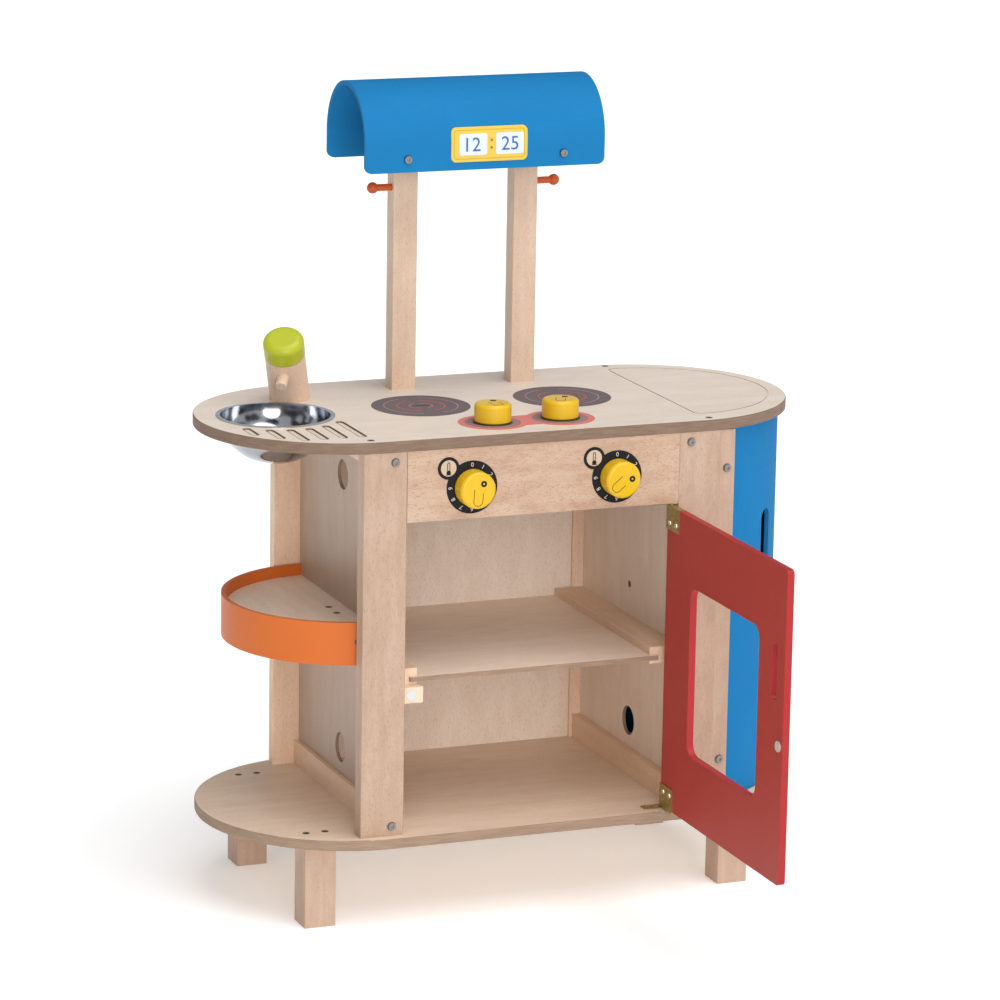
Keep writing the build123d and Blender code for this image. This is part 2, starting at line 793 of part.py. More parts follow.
# Spout peg
with BuildPart() as tap_spout:
    rod(spout_plane.offset(tap_diameter / 2 + spout_reach), spout_diameter / 2, spout_seat + spout_reach)
    fillet(tap_spout.edges().group_by(Axis(spout_plane.origin, spout_plane.z_dir))[-1], edge_round)
tap_spout.part.label = "tap_spout"
export_step(tap_spout.part, "parts/tap_spout.step")

# Pin that the tap's cap turns on
with BuildPart() as tap_pin:
    rod(tap_foot.offset(tap_body_length + tap_pin_depth), tap_pin_diameter / 2, 2 * tap_pin_depth)
tap_pin.part.label = "tap_pin"
export_step(tap_pin.part, "parts/tap_pin.step")

# Turning cap of the tap
with BuildPart() as tap_cap:
    with BuildSketch(tap_foot.offset(tap_body_length + tap_cap_gap)):
        Circle(tap_cap_diameter / 2)
    extrude(amount=tap_cap_height)
    cap_axis = Axis(tap_foot.origin, tap_foot.z_dir)
    fillet(tap_cap.edges().group_by(cap_axis)[-1], tap_cap_round)
    fillet(tap_cap.edges().group_by(cap_axis)[0], edge_round)
    cap_seat = tap_foot.offset(tap_body_length + tap_pin_depth + turning_play)
    bore(cap_seat, tap_pin_diameter / 2 + turning_play, tap_pin_depth + 1)
tap_cap.part.label = "tap_cap"
export_step(tap_cap.part, "parts/tap_cap.step")

# Hood posts
hood_post_outer_x = hood_post_inner_x + hood_post_width
for side, side_word in ((-1, "left"), (1, "right")):
    with BuildPart() as hood_post:
        with BuildSketch(Plane.XY.offset(worktop_height)):
            with Locations((side * hood_post_x, hood_post_y)):
                Rectangle(hood_post_width, hood_post_depth)
        extrude(amount=hood_post_top - worktop_height)
        fillet(hood_post.edges().filter_by(Axis.Z), edge_round)
        bore(facing(side * hood_post_outer_x, peg_y, peg_z, (side, 0, 0)), peg_diameter / 2, peg_depth)
        for place in arm_screws_at:
            wood_screw_hole(place)
        for place in post_screws_at:
            wood_screw_bite(place)
    hood_post.part.label = f"hood_post_{side_word}"
    export_step(hood_post.part, f"parts/hood_post_{side_word}.step")

# Hook pegs with round heads
with BuildPart() as hook_pegs:
    peg_head_x = hood_post_outer_x + peg_reach
    with BuildSketch(Plane.XZ.offset(-peg_y)):
        for side in (-1, 1):
            with Locations((side * (peg_head_x + hood_post_outer_x - peg_depth) / 2, peg_z)):
                Rectangle(peg_reach + peg_depth, peg_diameter)
            with Locations((side * peg_head_x, peg_z)):
                Circle(peg_head_diameter / 2)
        with Locations((0, peg_z)):
            lower_half = (Align.CENTER, Align.MAX)
            Rectangle(4 * peg_head_x, peg_head_diameter, align=lower_half, mode=Mode.SUBTRACT)
    revolve(axis=Axis((0, peg_y, peg_z), (1, 0, 0)))
hook_pegs.part.label = "hook_pegs"
export_step(hook_pegs.part, "parts/hook_pegs.step")

# Screws through the hood's skirts into the arms across it
arm_x = hood_post_outer_x + arm_thickness / 2
hood_screws_at = [
    facing(side * arm_x, hood_axis_y + end * hood_radius, arm_z, (0, end, 0))
    for side in (-1, 1)
    for end in (-1, 1)
]

# Hood, a bent sheet with straight skirts and rounded lower corners
hood_end_plane = Plane(origin=(-hood_length / 2, hood_axis_y, hood_axis_z), x_dir=back, z_dir=right)
hood_skirt = hood_axis_z - hood_under
with BuildPart() as hood_shell:
    with BuildSketch(hood_end_plane):
        Circle(hood_radius)
        Rectangle(2 * hood_radius, hood_skirt, align=(Align.CENTER, Align.MAX))
        Circle(hood_radius - hood_wall, mode=Mode.SUBTRACT)
        inner_width = 2 * (hood_radius - hood_wall)
        Rectangle(inner_width, hood_radius, align=(Align.CENTER, Align.MAX), mode=Mode.SUBTRACT)
    extrude(amount=hood_length)
    with BuildSketch(Plane.XZ.offset(-hood_axis_y - hood_radius)):
        with Locations((0, hood_under)):
            Rectangle(hood_length, 4 * hood_radius, align=(Align.CENTER, Align.MIN))
        fillet(vertices().group_by(Axis.Y)[0], hood_corner)
    extrude(amount=2 * hood_radius, mode=Mode.INTERSECT)
    for place in hood_screws_at:
        bore(place, wood_screw_diameter / 2 + screw_play, hood_wall + 1)
hood_shell.part.label = "hood_shell"
export_step(hood_shell.part, "parts/hood_shell.step")

# Arms across the hood, one on the outer side of each post
with BuildPart() as hood_arms:
    for side in (-1, 1):
        with BuildSketch(Plane.XY.offset(arm_z - arm_height / 2)):
            with Locations((side * arm_x, hood_axis_y)):
                Rectangle(arm_thickness, 2 * (hood_radius - hood_wall))
        extrude(amount=arm_height)
    for place in hood_screws_at:
        bore(place, wood_screw_diameter / 2 + screw_play, hood_screw_length + 1)
    for place in arm_screws_at:
        wood_screw_bite(place)
hood_arms.part.label = "hood_arms"
export_step(hood_arms.part, "parts/hood_arms.step")

# Hood screws
with BuildPart() as hood_screws:
    for place in hood_screws_at:
        round_screw(place, head_diameter, head_height, wood_screw_diameter, hood_screw_length)
hood_screws.part.label = "hood_screws"
export_step(hood_screws.part, "parts/hood_screws.step")

# Clock plate, bent to the hood
with BuildPart() as clock_plate:
    with BuildSketch(hood_end_plane):
        Circle(hood_radius + clock_thickness)
        Rectangle(2 * (hood_radius + clock_thickness), hood_skirt, align=(Align.CENTER, Align.MAX))
        Circle(hood_radius, mode=Mode.SUBTRACT)
        Rectangle(2 * hood_radius, hood_radius, align=(Align.CENTER, Align.MAX), mode=Mode.SUBTRACT)
    extrude(amount=hood_length)
    with BuildSketch(Plane.XZ.offset(-hood_axis_y)):
        with Locations((clock_x, clock_z)):
            RectangleRounded(clock_width, clock_height, clock_corner)
    extrude(amount=2 * hood_radius, mode=Mode.INTERSECT)
clock_plate.part.label = "clock_plate"
export_step(clock_plate.part, "parts/clock_plate.step")

# Oven door with its window and slot handle
with BuildPart() as oven_door:
    with BuildSketch(door_plane):
        with Locations((0, door_bottom)):
            Rectangle(door_width, door_top - door_bottom, align=(Align.MIN, Align.MIN))
        fillet(vertices().group_by(Axis.X)[-1], door_corner)
        with Locations((window_margin + window_width / 2, window_z)):
            RectangleRounded(window_width, window_height, window_corner, mode=Mode.SUBTRACT)
        with Locations((door_width - door_slot_margin, door_slot_z)):
            SlotOverall(door_slot_length, door_slot_width, rotation=90, mode=Mode.SUBTRACT)
    extrude(amount=door_thickness)
    fillet(oven_door.edges().filter_by(Axis.Z).group_by(Axis.Y)[-1], pivot_edge - hinge_flat)
    for place in leaf_screws_at:
        bore(place, plate_screw_diameter / 2 + screw_play, leaf_screw_length + 1)
oven_door.part.label = "oven_door"
export_step(oven_door.part, "parts/oven_door.step")

# Brass leaves on the door's inner face, each with a foot under or over the door and a pivot pin
with BuildPart() as door_hinge_leaves:
    for edge_z, inward in ((door_bottom, 1), (door_top, -1)):
        leaf_z = edge_z + inward * leaf_height / 2
        leaf_y = hinge_edge_y - leaf_edge_gap - leaf_width / 2
        foot_z = edge_z - inward * leaf_foot_thickness / 2
        with BuildSketch(Plane(origin=(door_inner_x, leaf_y, leaf_z), x_dir=front, z_dir=left)):
            Rectangle(leaf_width, leaf_height)
        extrude(amount=leaf_thickness)
        foot_depth = leaf_width + leaf_edge_gap - pivot_edge + pivot_pin_diameter / 2
        foot_near_y = pivot_y + pivot_pin_diameter / 2
        with BuildSketch(Plane.XY.offset(foot_z - leaf_foot_thickness / 2)):
            with Locations((door_inner_x - leaf_thickness, foot_near_y)):
                Rectangle(
                    pivot_x + pivot_pin_diameter / 2 - door_inner_x + leaf_thickness,
                    foot_depth,
                    align=(Align.MIN, Align.MAX),
                )
        extrude(amount=leaf_foot_thickness)
        pin_root = facing(pivot_x, pivot_y, edge_z - inward * leaf_foot_thickness / 2, (0, 0, inward))
        rod(pin_root, pivot_pin_diameter / 2, pivot_gap + pivot_pin_bite)
    for place in leaf_screws_at:
        bore(place, plate_screw_diameter / 2 + screw_play, leaf_screw_length + 1)
door_hinge_leaves.part.label = "door_hinge_leaves"
export_step(door_hinge_leaves.part, "parts/door_hinge_leaves.step")

# Screws of the hinge leaves
with BuildPart() as leaf_screws:
    for place in leaf_screws_at:
        round_screw(place, leaf_screw_head, leaf_screw_head_height, plate_screw_diameter, leaf_screw_length)
leaf_screws.part.label = "leaf_screws"
export_step(leaf_screws.part, "parts/leaf_screws.step")

# Brass plates that the pivot pins turn in
with BuildPart() as hinge_plates:
    for plate_z, away in ((base_top, 1), (control_panel_under, -1)):
        with BuildSketch(facing(plate_x, plate_y, plate_z, (0, 0, away))):
            Rectangle(plate_width, plate_depth)
        extrude(amount=plate_thickness)
        pin_hole = facing(pivot_x, pivot_y, plate_z + away * plate_thickness, (0, 0, away))
        bore(pin_hole, pivot_pin_diameter / 2 + turning_play, plate_thickness)
    for place in plate_screws_at:
        countersink(place, plate_screw_head, plate_screw_diameter, plate_screw_length)
hinge_plates.part.label = "hinge_plates"
export_step(hinge_plates.part, "parts/hinge_plates.step")

# Screws of the hinge plates
with BuildPart() as plate_screws:
    for place in plate_screws_at:
        flat_screw(place, plate_screw_head, plate_screw_diameter, plate_screw_length)
plate_screws.part.label = "plate_screws"
export_step(plate_screws.part, "parts/plate_screws.step")

# Steel disc on the door that meets the magnet
with BuildPart() as door_striker:
    with BuildSketch(door_plane.offset(door_thickness)):
        with Locations((striker_reach, catch_z)):
            Circle(striker_diameter / 2)
    extrude(amount=striker_thickness)
door_striker.part.label = "door_striker"
export_step(door_striker.part, "parts/door_striker.step")

# Wooden block beside the left post that holds the magnet
magnet_face_y = front_y + door_thickness + striker_thickness + catch_gap
magnet_face = facing(closed_striker_x, magnet_face_y, catch_z, front)
with BuildPart() as catch_block:
    block_front_y = magnet_face_y + magnet_proud
    with BuildSketch(Plane.XY.offset(catch_z - catch_block_height / 2)):
        with Locations((-opening_x, block_front_y)):
            Rectangle(catch_block_width, post_back_y - block_front_y, align=(Align.MIN, Align.MIN))
    extrude(amount=catch_block_height)
    bore(magnet_face, striker_diameter / 2, magnet_length)
catch_block.part.label = "catch_block"
export_step(catch_block.part, "parts/catch_block.step")

# Magnet
with BuildPart() as catch_magnet:
    rod(magnet_face, striker_diameter / 2, magnet_length)
catch_magnet.part.label = "catch_magnet"
export_step(catch_magnet.part, "parts/catch_magnet.step")

# Half-round shelves, an open one on the left and one inside the fridge
side_shelf_radius = rail_band_radius - rail_band_wall - rail_band_gap
fridge_shelf_radius = fridge_radius - fridge_wall - fridge_shelf_gap
for side, centre_x, centre_y, radius, shelf_name in (
    (-1, side_shelf_x, side_shelf_y, side_shelf_radius, "side_shelf"),
    (1, fridge_centre_x, 0, fridge_shelf_radius, "fridge_shelf"),
):
    with BuildPart() as half_shelf:
        with BuildSketch(Plane.XY.offset(side_shelf_top - side_shelf_thickness)):
            with Locations((centre_x, centre_y)):
                Circle(radius)
            with Locations((side * (panel_outer_x + radius), centre_y)):
                Rectangle(2 * radius, 2 * radius, mode=Mode.INTERSECT)
        extrude(amount=side_shelf_thickness)
        for place in shelf_screws_at:
            countersink(place, wood_head_diameter, wood_screw_diameter, short_screw_length)
        for place in side_screws_at:
            bore(place, wood_screw_diameter / 2 + screw_play, short_screw_length + 1)
        for place in band_screws_at:
            bore(place, band_screw_diameter / 2 + screw_play, band_screw_length + 1)
    half_shelf.part.label = shelf_name
    export_step(half_shelf.part, f"parts/{shelf_name}.step")

# Cleats under the half-round shelves
with BuildPart() as shelf_cleats:
    with BuildSketch(Plane.XY.offset(side_shelf_top - side_shelf_thickness - cleat_height)):
        for side in (-1, 1):
            with Locations((side * (panel_outer_x + cleat_width / 2), cleat_y)):
                Rectangle(cleat_width, cleat_length)
    extrude(amount=cleat_height)
    for place in shelf_screws_at:
        bore(place, wood_screw_diameter / 2 + screw_play, short_screw_length + 1)
shelf_cleats.part.label = "shelf_cleats"
export_step(shelf_cleats.part, "parts/shelf_cleats.step")

# Short wood screws of the half-round shelves
with BuildPart() as shelf_screws:
    for place in shelf_screws_at + side_screws_at:
        flat_screw(place, wood_head_diameter, wood_screw_diameter, short_screw_length)
shelf_screws.part.label = "shelf_screws"
export_step(shelf_screws.part, "parts/shelf_screws.step")

# Bent rail round the left shelf
with BuildPart() as rail_band:
    with BuildSketch(Plane.XY.offset(rail_band_top - rail_band_height)):
        with Locations((side_shelf_x, side_shelf_y)):
            Circle(rail_band_radius)
            Circle(rail_band_radius - rail_band_wall, mode=Mode.SUBTRACT)
        with Locations((-panel_outer_x - rail_band_radius, side_shelf_y)):
            Rectangle(2 * rail_band_radius, 2 * rail_band_radius, mode=Mode.INTERSECT)
    extrude(amount=rail_band_height)
    for place in band_screws_at:
        bore(place, band_screw_diameter / 2 + screw_play, band_screw_length)
rail_band.part.label = "rail_band"
export_step(rail_band.part, "parts/rail_band.step")

# Screws through the bent rail into the shelf
with BuildPart() as band_screws:
    for place in band_screws_at:
        round_screw(place, band_screw_head, leaf_screw_head_height, band_screw_diameter, band_screw_length)
band_screws.part.label = "band_screws"
export_step(band_screws.part, "parts/band_screws.step")

# Curved fridge door with its slot handle
with BuildPart() as fridge_door:
    with BuildSketch(Plane.XY.offset(fridge_bottom)):
        with Locations((fridge_centre_x, 0)):
            Circle(fridge_radius)
            Circle(fridge_radius - fridge_wall, mode=Mode.SUBTRACT)
        with Locations((fridge_inner_x + fridge_radius, 0)):
            Rectangle(2 * fridge_radius, 2 * fridge_radius, mode=Mode.INTERSECT)
    extrude(amount=fridge_top - fridge_bottom)
    slot_direction = (sin(radians(fridge_slot_angle)), -cos(radians(fridge_slot_angle)), 0)
    slot_centre = (fridge_centre_x, 0, fridge_slot_top - fridge_slot_length / 2)
    with BuildSketch(Plane(origin=slot_centre, x_dir=up, z_dir=slot_direction)):
        SlotOverall(fridge_slot_length, fridge_slot_width)
    extrude(amount=fridge_radius + 1, mode=Mode.SUBTRACT)
    for place in front_strip_screws_at + back_strip_screws_at:
        bore(place, wood_screw_diameter / 2 + screw_play, strip_screw_length + 1)
fridge_door.part.label = "fridge_door"
export_step(fridge_door.part, "parts/fridge_door.step")

# Solid wood strips down the fridge door's two long edges
for end, end_word in ((-1, "front"), (1, "back")):
    with BuildPart() as strip:
        with BuildSketch(Plane.XY.offset(fridge_bottom)):
            with Locations((fridge_inner_x + fridge_strip_width / 2, end * fridge_strip_y / 2)):
                Rectangle(fridge_strip_width, fridge_strip_y)
            with Locations((fridge_centre_x, 0)):
                Circle(fridge_radius, mode=Mode.SUBTRACT)
        extrude(amount=fridge_top - fridge_bottom)
        outer_side = -1 if end > 0 else 0
        door_edge = strip.edges().filter_by(Axis.Z).group_by(Axis.Y)[outer_side].sort_by(Axis.X)[-1]
        fillet(door_edge, edge_round)
        post_edge = strip.edges().filter_by(Axis.Z).group_by(Axis.Y)[outer_side].sort_by(Axis.X)[0]
        fillet(post_edge, fridge_pivot_edge if end > 0 else edge_round)
        for place in front_strip_screws_at:
            bore(place, wood_screw_diameter / 2 + screw_play, strip_screw_length + 1)
        for place in back_strip_screws_at:
            countersink(place, wood_head_diameter, wood_screw_diameter, strip_screw_length)
        for pin_face in fridge_pin_faces:
            bore(pin_face, fridge_pin_diameter / 2, fridge_pin_bite)
    strip.part.label = f"fridge_{end_word}_strip"
    export_step(strip.part, f"parts/fridge_{end_word}_strip.step")

# Pivot pins of the fridge door
with BuildPart() as fridge_pins:
    pin_length = fridge_gap + 2 * fridge_pin_bite
    for pin_face in fridge_pin_faces:
        rod(pin_face.offset(fridge_gap + fridge_pin_bite), fridge_pin_diameter / 2, pin_length)
fridge_pins.part.label = "fridge_pins"
export_step(fridge_pins.part, "parts/fridge_pins.step")

# Screws that hold the strips to the curved door, with flush heads at the back, which swings past the stile
with BuildPart() as strip_screws:
    for place in front_strip_screws_at:
        round_screw(place, head_diameter, head_height, wood_screw_diameter, strip_screw_length)
    for place in back_strip_screws_at:
        flat_screw(place, wood_head_diameter, wood_screw_diameter, strip_screw_length)
strip_screws.part.label = "strip_screws"
export_step(strip_screws.part, "parts/strip_screws.step")
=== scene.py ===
import json
from math import cos, pi, radians, sin, sqrt

import bmesh
import bpy
from mathutils import Matrix, Vector


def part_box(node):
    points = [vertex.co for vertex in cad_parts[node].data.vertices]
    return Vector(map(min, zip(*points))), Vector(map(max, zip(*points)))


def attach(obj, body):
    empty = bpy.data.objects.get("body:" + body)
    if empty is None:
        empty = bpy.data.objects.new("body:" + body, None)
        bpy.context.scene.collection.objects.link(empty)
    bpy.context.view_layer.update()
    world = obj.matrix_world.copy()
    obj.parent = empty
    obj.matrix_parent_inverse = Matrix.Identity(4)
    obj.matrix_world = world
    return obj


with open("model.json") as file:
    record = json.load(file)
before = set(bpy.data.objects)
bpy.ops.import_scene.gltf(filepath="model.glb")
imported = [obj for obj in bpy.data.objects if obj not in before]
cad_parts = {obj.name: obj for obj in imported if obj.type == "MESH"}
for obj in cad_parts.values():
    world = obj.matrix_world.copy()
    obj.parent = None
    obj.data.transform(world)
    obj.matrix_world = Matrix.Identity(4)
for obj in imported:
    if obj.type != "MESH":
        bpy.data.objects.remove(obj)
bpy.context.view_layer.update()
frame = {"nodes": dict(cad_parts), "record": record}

bl_info = {
    "name": "Play kitchen finishes",
    "version": (1, 0, 0),
    "blender": (4, 5, 0),
    "location": "3D View > Sidebar > Play Kitchen",
    "description": "Wood, lacquer, metal and printed marks of a play kitchen, with a studio around it",
    "category": "Object",
}

# Lengths are in metres. The box of the fixed model is taken before anything is added
MM = 0.001
HALF_TURN = pi
FULL_TURN = 2 * pi
UP = Vector((0, 0, 1))
RIGHT = Vector((1, 0, 0))
BACK = Vector((0, 1, 0))
FRONT = Vector((0, -1, 0))


def paint(red, green, blue):
    """Turn a colour as a screen shows it, 0 to 255 a channel, into the linear one that nodes take."""
    linear = []
    for channel in (red, green, blue):
        share = channel / 255
        linear.append(share / 12.92 if share <= 0.04045 else ((share + 0.055) / 1.055) ** 2.4)
    return (*linear, 1.0)


# Places of the fixed model that the new pieces lie on

def centre_of(node):
    """Give the middle of a node's box."""
    low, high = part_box(node)
    return (low + high) / 2


WORKTOP_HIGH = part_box("worktop")[1]
WORKTOP_FACE = WORKTOP_HIGH.z

# The drain grooves, as the fixed model cuts them
DRAIN_COUNT = 6
DRAIN_PITCH = 21.7 * MM
DRAIN_WIDTH = 8 * MM
DRAIN_FIRST_X = -200 * MM
DRAIN_FRONT_Y = -128 * MM
DRAIN_SINK_GAP = 5 * MM
DRAIN_EDGE_GAP = 9 * MM

# The printed faces, the hood with its clock plate, and the knobs
HOB_LOW, HOB_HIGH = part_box("hob_prints")
HOB_RADIUS = (HOB_HIGH.y - HOB_LOW.y) / 2
HOB_FACE = HOB_HIGH.z
ZONE_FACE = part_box("knob_zone_print")[1].z
WASHER_RADIUS = (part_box("knob_washers")[1].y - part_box("knob_washers")[0].y) / 2
DIAL_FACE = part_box("dial_prints")[0].y
HOOD_LOW, HOOD_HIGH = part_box("hood_shell")
HOOD_RADIUS = (HOOD_HIGH.y - HOOD_LOW.y) / 2
HOOD_AXIS_Y = (HOOD_LOW.y + HOOD_HIGH.y) / 2
HOOD_AXIS_Z = HOOD_HIGH.z - HOOD_RADIUS
CLOCK_LOW, CLOCK_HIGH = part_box("clock_plate")
CLOCK_RADIUS = HOOD_AXIS_Y - CLOCK_LOW.y
CLOCK_MIDDLE = centre_of("clock_plate")
JOINT_AXES = {joint["name"]: Vector(joint["axis"]) for joint in frame["record"]["behaviour"]["joints"]}
TAP_AXIS = JOINT_AXES["tap_cap_turn"]
OVEN_KNOBS = {"left": "knob_oven_left", "right": "knob_oven_right"}
HOB_KNOBS = {"left": "knob_hob_left", "right": "knob_hob_right"}

# Where the photograph was taken from and how its camera was turned, in radians; the lens is in millimetres
CAMERA_PLACE = Vector((-1.8404, -4.6371, 1.6044))
CAMERA_YAW = 0.379738
CAMERA_PITCH = -0.230169
CAMERA_ROLL = 0.017009
FOCAL_LENGTH = 163.807
SENSOR_WIDTH = 36


def length_prop(name, description, default):
    """Make a length setting in metres."""
    return bpy.props.FloatProperty(
        name=name,
        description=description,
        default=default,
        min=0.0,
        precision=5,
        subtype="DISTANCE",
        unit="LENGTH",
    )


def colour_prop(name, description, default):
    """Make a colour setting."""
    return bpy.props.FloatVectorProperty(
        name=name, description=description, default=default, size=4, min=0.0, max=1.0, subtype="COLOR"
    )


class KitchenSizes(bpy.types.PropertyGroup):
    """Sizes of the printed marks and of the painted shadow round the worktop knobs."""

    ink: length_prop("Ink height", "How far a printed mark stands above its face", 0.15 * MM)
    sink: length_prop("Ink depth", "How far a printed mark reaches into its face", 0.05 * MM)
    # Width of the thin dark outline drawn round each drain groove.
    scorch_line: length_prop("Groove outline width", "Width of the dark groove outline of a groove", 0.8 * MM)
    ring_width: length_prop("Hob ring width", "Width of the printed hob rings", 1.5 * MM)
    ring_outer: length_prop("Outer hob ring", "Radius of the outer printed ring", 41.5 * MM)
    ring_middle: length_prop("Middle hob ring", "Radius of the middle printed ring", 27 * MM)
    ring_inner: length_prop("Inner hob ring", "Radius of the inner printed ring", 13 * MM)
    # Painted shadow: the grey disc round each worktop knob stands for the knob's shadow.
    zone_disc: length_prop("Knob zone disc", "Radius of the grey disc under a worktop knob", 31 * MM)
    dial_figure: length_prop("Dial figure height", "Height of the figures on the oven dials", 4.7 * MM)
    dial_figure_radius: length_prop("Dial figure radius", "Distance of the figures from the middle", 25 * MM)
    badge_radius: length_prop("Badge disc", "Radius of the pale disc on the dial's badge", 9 * MM)
    mark_line: length_prop("Knob mark line", "Width of the lines on the knobs", 0.7 * MM)
    clock_figure: length_prop("Clock figure height", "Height of the clock's figures", 15.5 * MM)
    window_width: length_prop("Clock window width", "Width of a white window of the clock", 33 * MM)
    window_height: length_prop("Clock window height", "Height of a white window of the clock", 24 * MM)


class KitchenColours(bpy.types.PropertyGroup):
    """Colours of the finishes."""

    # The beech comes in two copies tuned to the light. This paler one is painted light that lifts the shade
    # on the pieces inside the cabinet. The darker front one is painted shade: it darkens the brightly lit
    # front posts, strip and front feet, and the back feet that stand in shadow.
    beech: colour_prop("Beech", "Pale colour of the solid wood", paint(246, 217, 189))
    beech_deep: colour_prop("Beech streaks", "Streaks of the solid wood", paint(222, 187, 157))
    front: colour_prop("Front beech", "Pale colour of the posts and feet", paint(198, 171, 151))
    front_deep: colour_prop("Front beech streaks", "Streaks of the posts and feet", paint(172, 139, 114))
    # Painted light: the panel veneer is raised to lift the shade on the back panel and inside the right side
    # panel. The left side panel gets a darker copy of it.
    panel: colour_prop("Panel veneer", "Pale colour of the panels", paint(244, 229, 214))
    panel_deep: colour_prop("Panel flecks", "Flecks of the panels", paint(222, 198, 176))
    worktop: colour_prop("Worktop veneer", "Face of the worktop", paint(236, 222, 208))
    worktop_deep: colour_prop("Worktop flecks", "Flecks of the worktop", paint(218, 198, 180))
    base: colour_prop("Base veneer", "Face of the base board", paint(236, 214, 192))
    base_deep: colour_prop("Base flecks", "Flecks of the base board", paint(210, 184, 158))
    cut_edge: colour_prop("Cut edge", "Edge of the boards and of their grooves", paint(165, 140, 118))
    cut_edge_deep: colour_prop("Cut edge plies", "Darker plies of the boards' edges", paint(140, 114, 94))
    worktop_edge: colour_prop("Worktop edge", "Edge of the worktop and of its grooves", paint(141, 117, 99))
    worktop_edge_deep: colour_prop("Worktop plies", "Darker plies of the worktop's edge", paint(114, 91, 76))
    blue: colour_prop("Blue lacquer", "Hood and fridge door", paint(26, 121, 178))
    red: colour_prop("Red lacquer", "Faces of the oven door", paint(181, 60, 52))
    red_edge: colour_prop("Red edge", "Edges of the oven door", paint(176, 44, 44))
    orange: colour_prop("Orange lacquer", "Rail and pegs", paint(213, 109, 42))
    yellow: colour_prop("Yellow lacquer", "Knobs", paint(226, 182, 24))
    lime: colour_prop("Lime lacquer", "Cap of the tap", paint(181, 187, 42))
    clock: colour_prop("Clock yellow", "Plate of the clock", paint(222, 190, 72))
    ink_dark: colour_prop("Dark print", "Dials and marks", paint(34, 32, 34))
    ink_grey: colour_prop("Grey print", "Hob discs", paint(116, 104, 105))
    ink_red: colour_prop("Red print", "Zone under the worktop knobs", paint(216, 128, 120))


# Node helpers

def add(tree, kind, inputs=None, **settings):
    """Add a node, set its properties, and set or link its inputs by name or number."""
    made = tree.nodes.new(kind)
    for key, value in settings.items():
        setattr(made, key, value)
    for key, value in (inputs or {}).items():
        if isinstance(value, bpy.types.NodeSocket):
            tree.links.new(value, made.inputs[key])
        else:
            made.inputs[key].default_value = value
    return made


def new_group(name, inputs, outputs):
    """Make an empty effect with named inputs and outputs."""
    tree = bpy.data.node_groups.new(name, "ShaderNodeTree")
    for label, kind, default in inputs:
        socket = tree.interface.new_socket(name=label, in_out="INPUT", socket_type=kind)
        socket.default_value = default
    for label, kind in outputs:
        tree.interface.new_socket(name=label, in_out="OUTPUT", socket_type=kind)
    return tree, add(tree, "NodeGroupInput").outputs, add(tree, "NodeGroupOutput").inputs


def times(tree, vector, along, across):
    """Scale a vector by one number along X and another across."""
    factors = add(tree, "ShaderNodeCombineXYZ", {"X": along, "Y": across, "Z": across}).outputs[0]
    return add(tree, "ShaderNodeVectorMath", {0: vector, 1: factors}, operation="MULTIPLY").outputs[0]


def maths(tree, operation, first, second):
    """Give the result of one sum."""
    return add(tree, "ShaderNodeMath", {0: first, 1: second}, operation=operation).outputs[0]


def spread(tree, value, low, high):
    """Stretch a value so that low becomes 0 and high becomes 1."""
    inputs = {"Value": value, "From Min": low, "From Max": high, "To Min": 0.0, "To Max": 1.0}
    return add(tree, "ShaderNodeMapRange", inputs).outputs["Result"]


def noise(tree, vector, detail, roughness):
    """Give a noise at a scale of one on a vector that is already scaled."""
    inputs = {"Vector": vector, "Scale": 1.0, "Detail": detail, "Roughness": roughness}
    return add(tree, "ShaderNodeTexNoise", inputs).outputs[0]


def blend_colours(tree, share, first, second, blend_type="MIX"):
    """Mix two colours by a share."""
    made = add(tree, "ShaderNodeMix", data_type="RGBA", blend_type=blend_type)
    for key, value in (("Factor_Float", share), ("A_Color", first), ("B_Color", second)):
        socket = next(item for item in made.inputs if item.identifier == key)
        if isinstance(value, bpy.types.NodeSocket):
            tree.links.new(value, socket)
        else:
            socket.default_value = value
    return next(item for item in made.outputs if item.identifier == "Result_Color")


def effect(tree, name, build, inputs):
    """Place a shared effect, which is built the first time that it is asked for."""
    shared = bpy.data.node_groups.get(name) or build(name)
    return add(tree, "ShaderNodeGroup", inputs, node_tree=shared)


# Shared effects

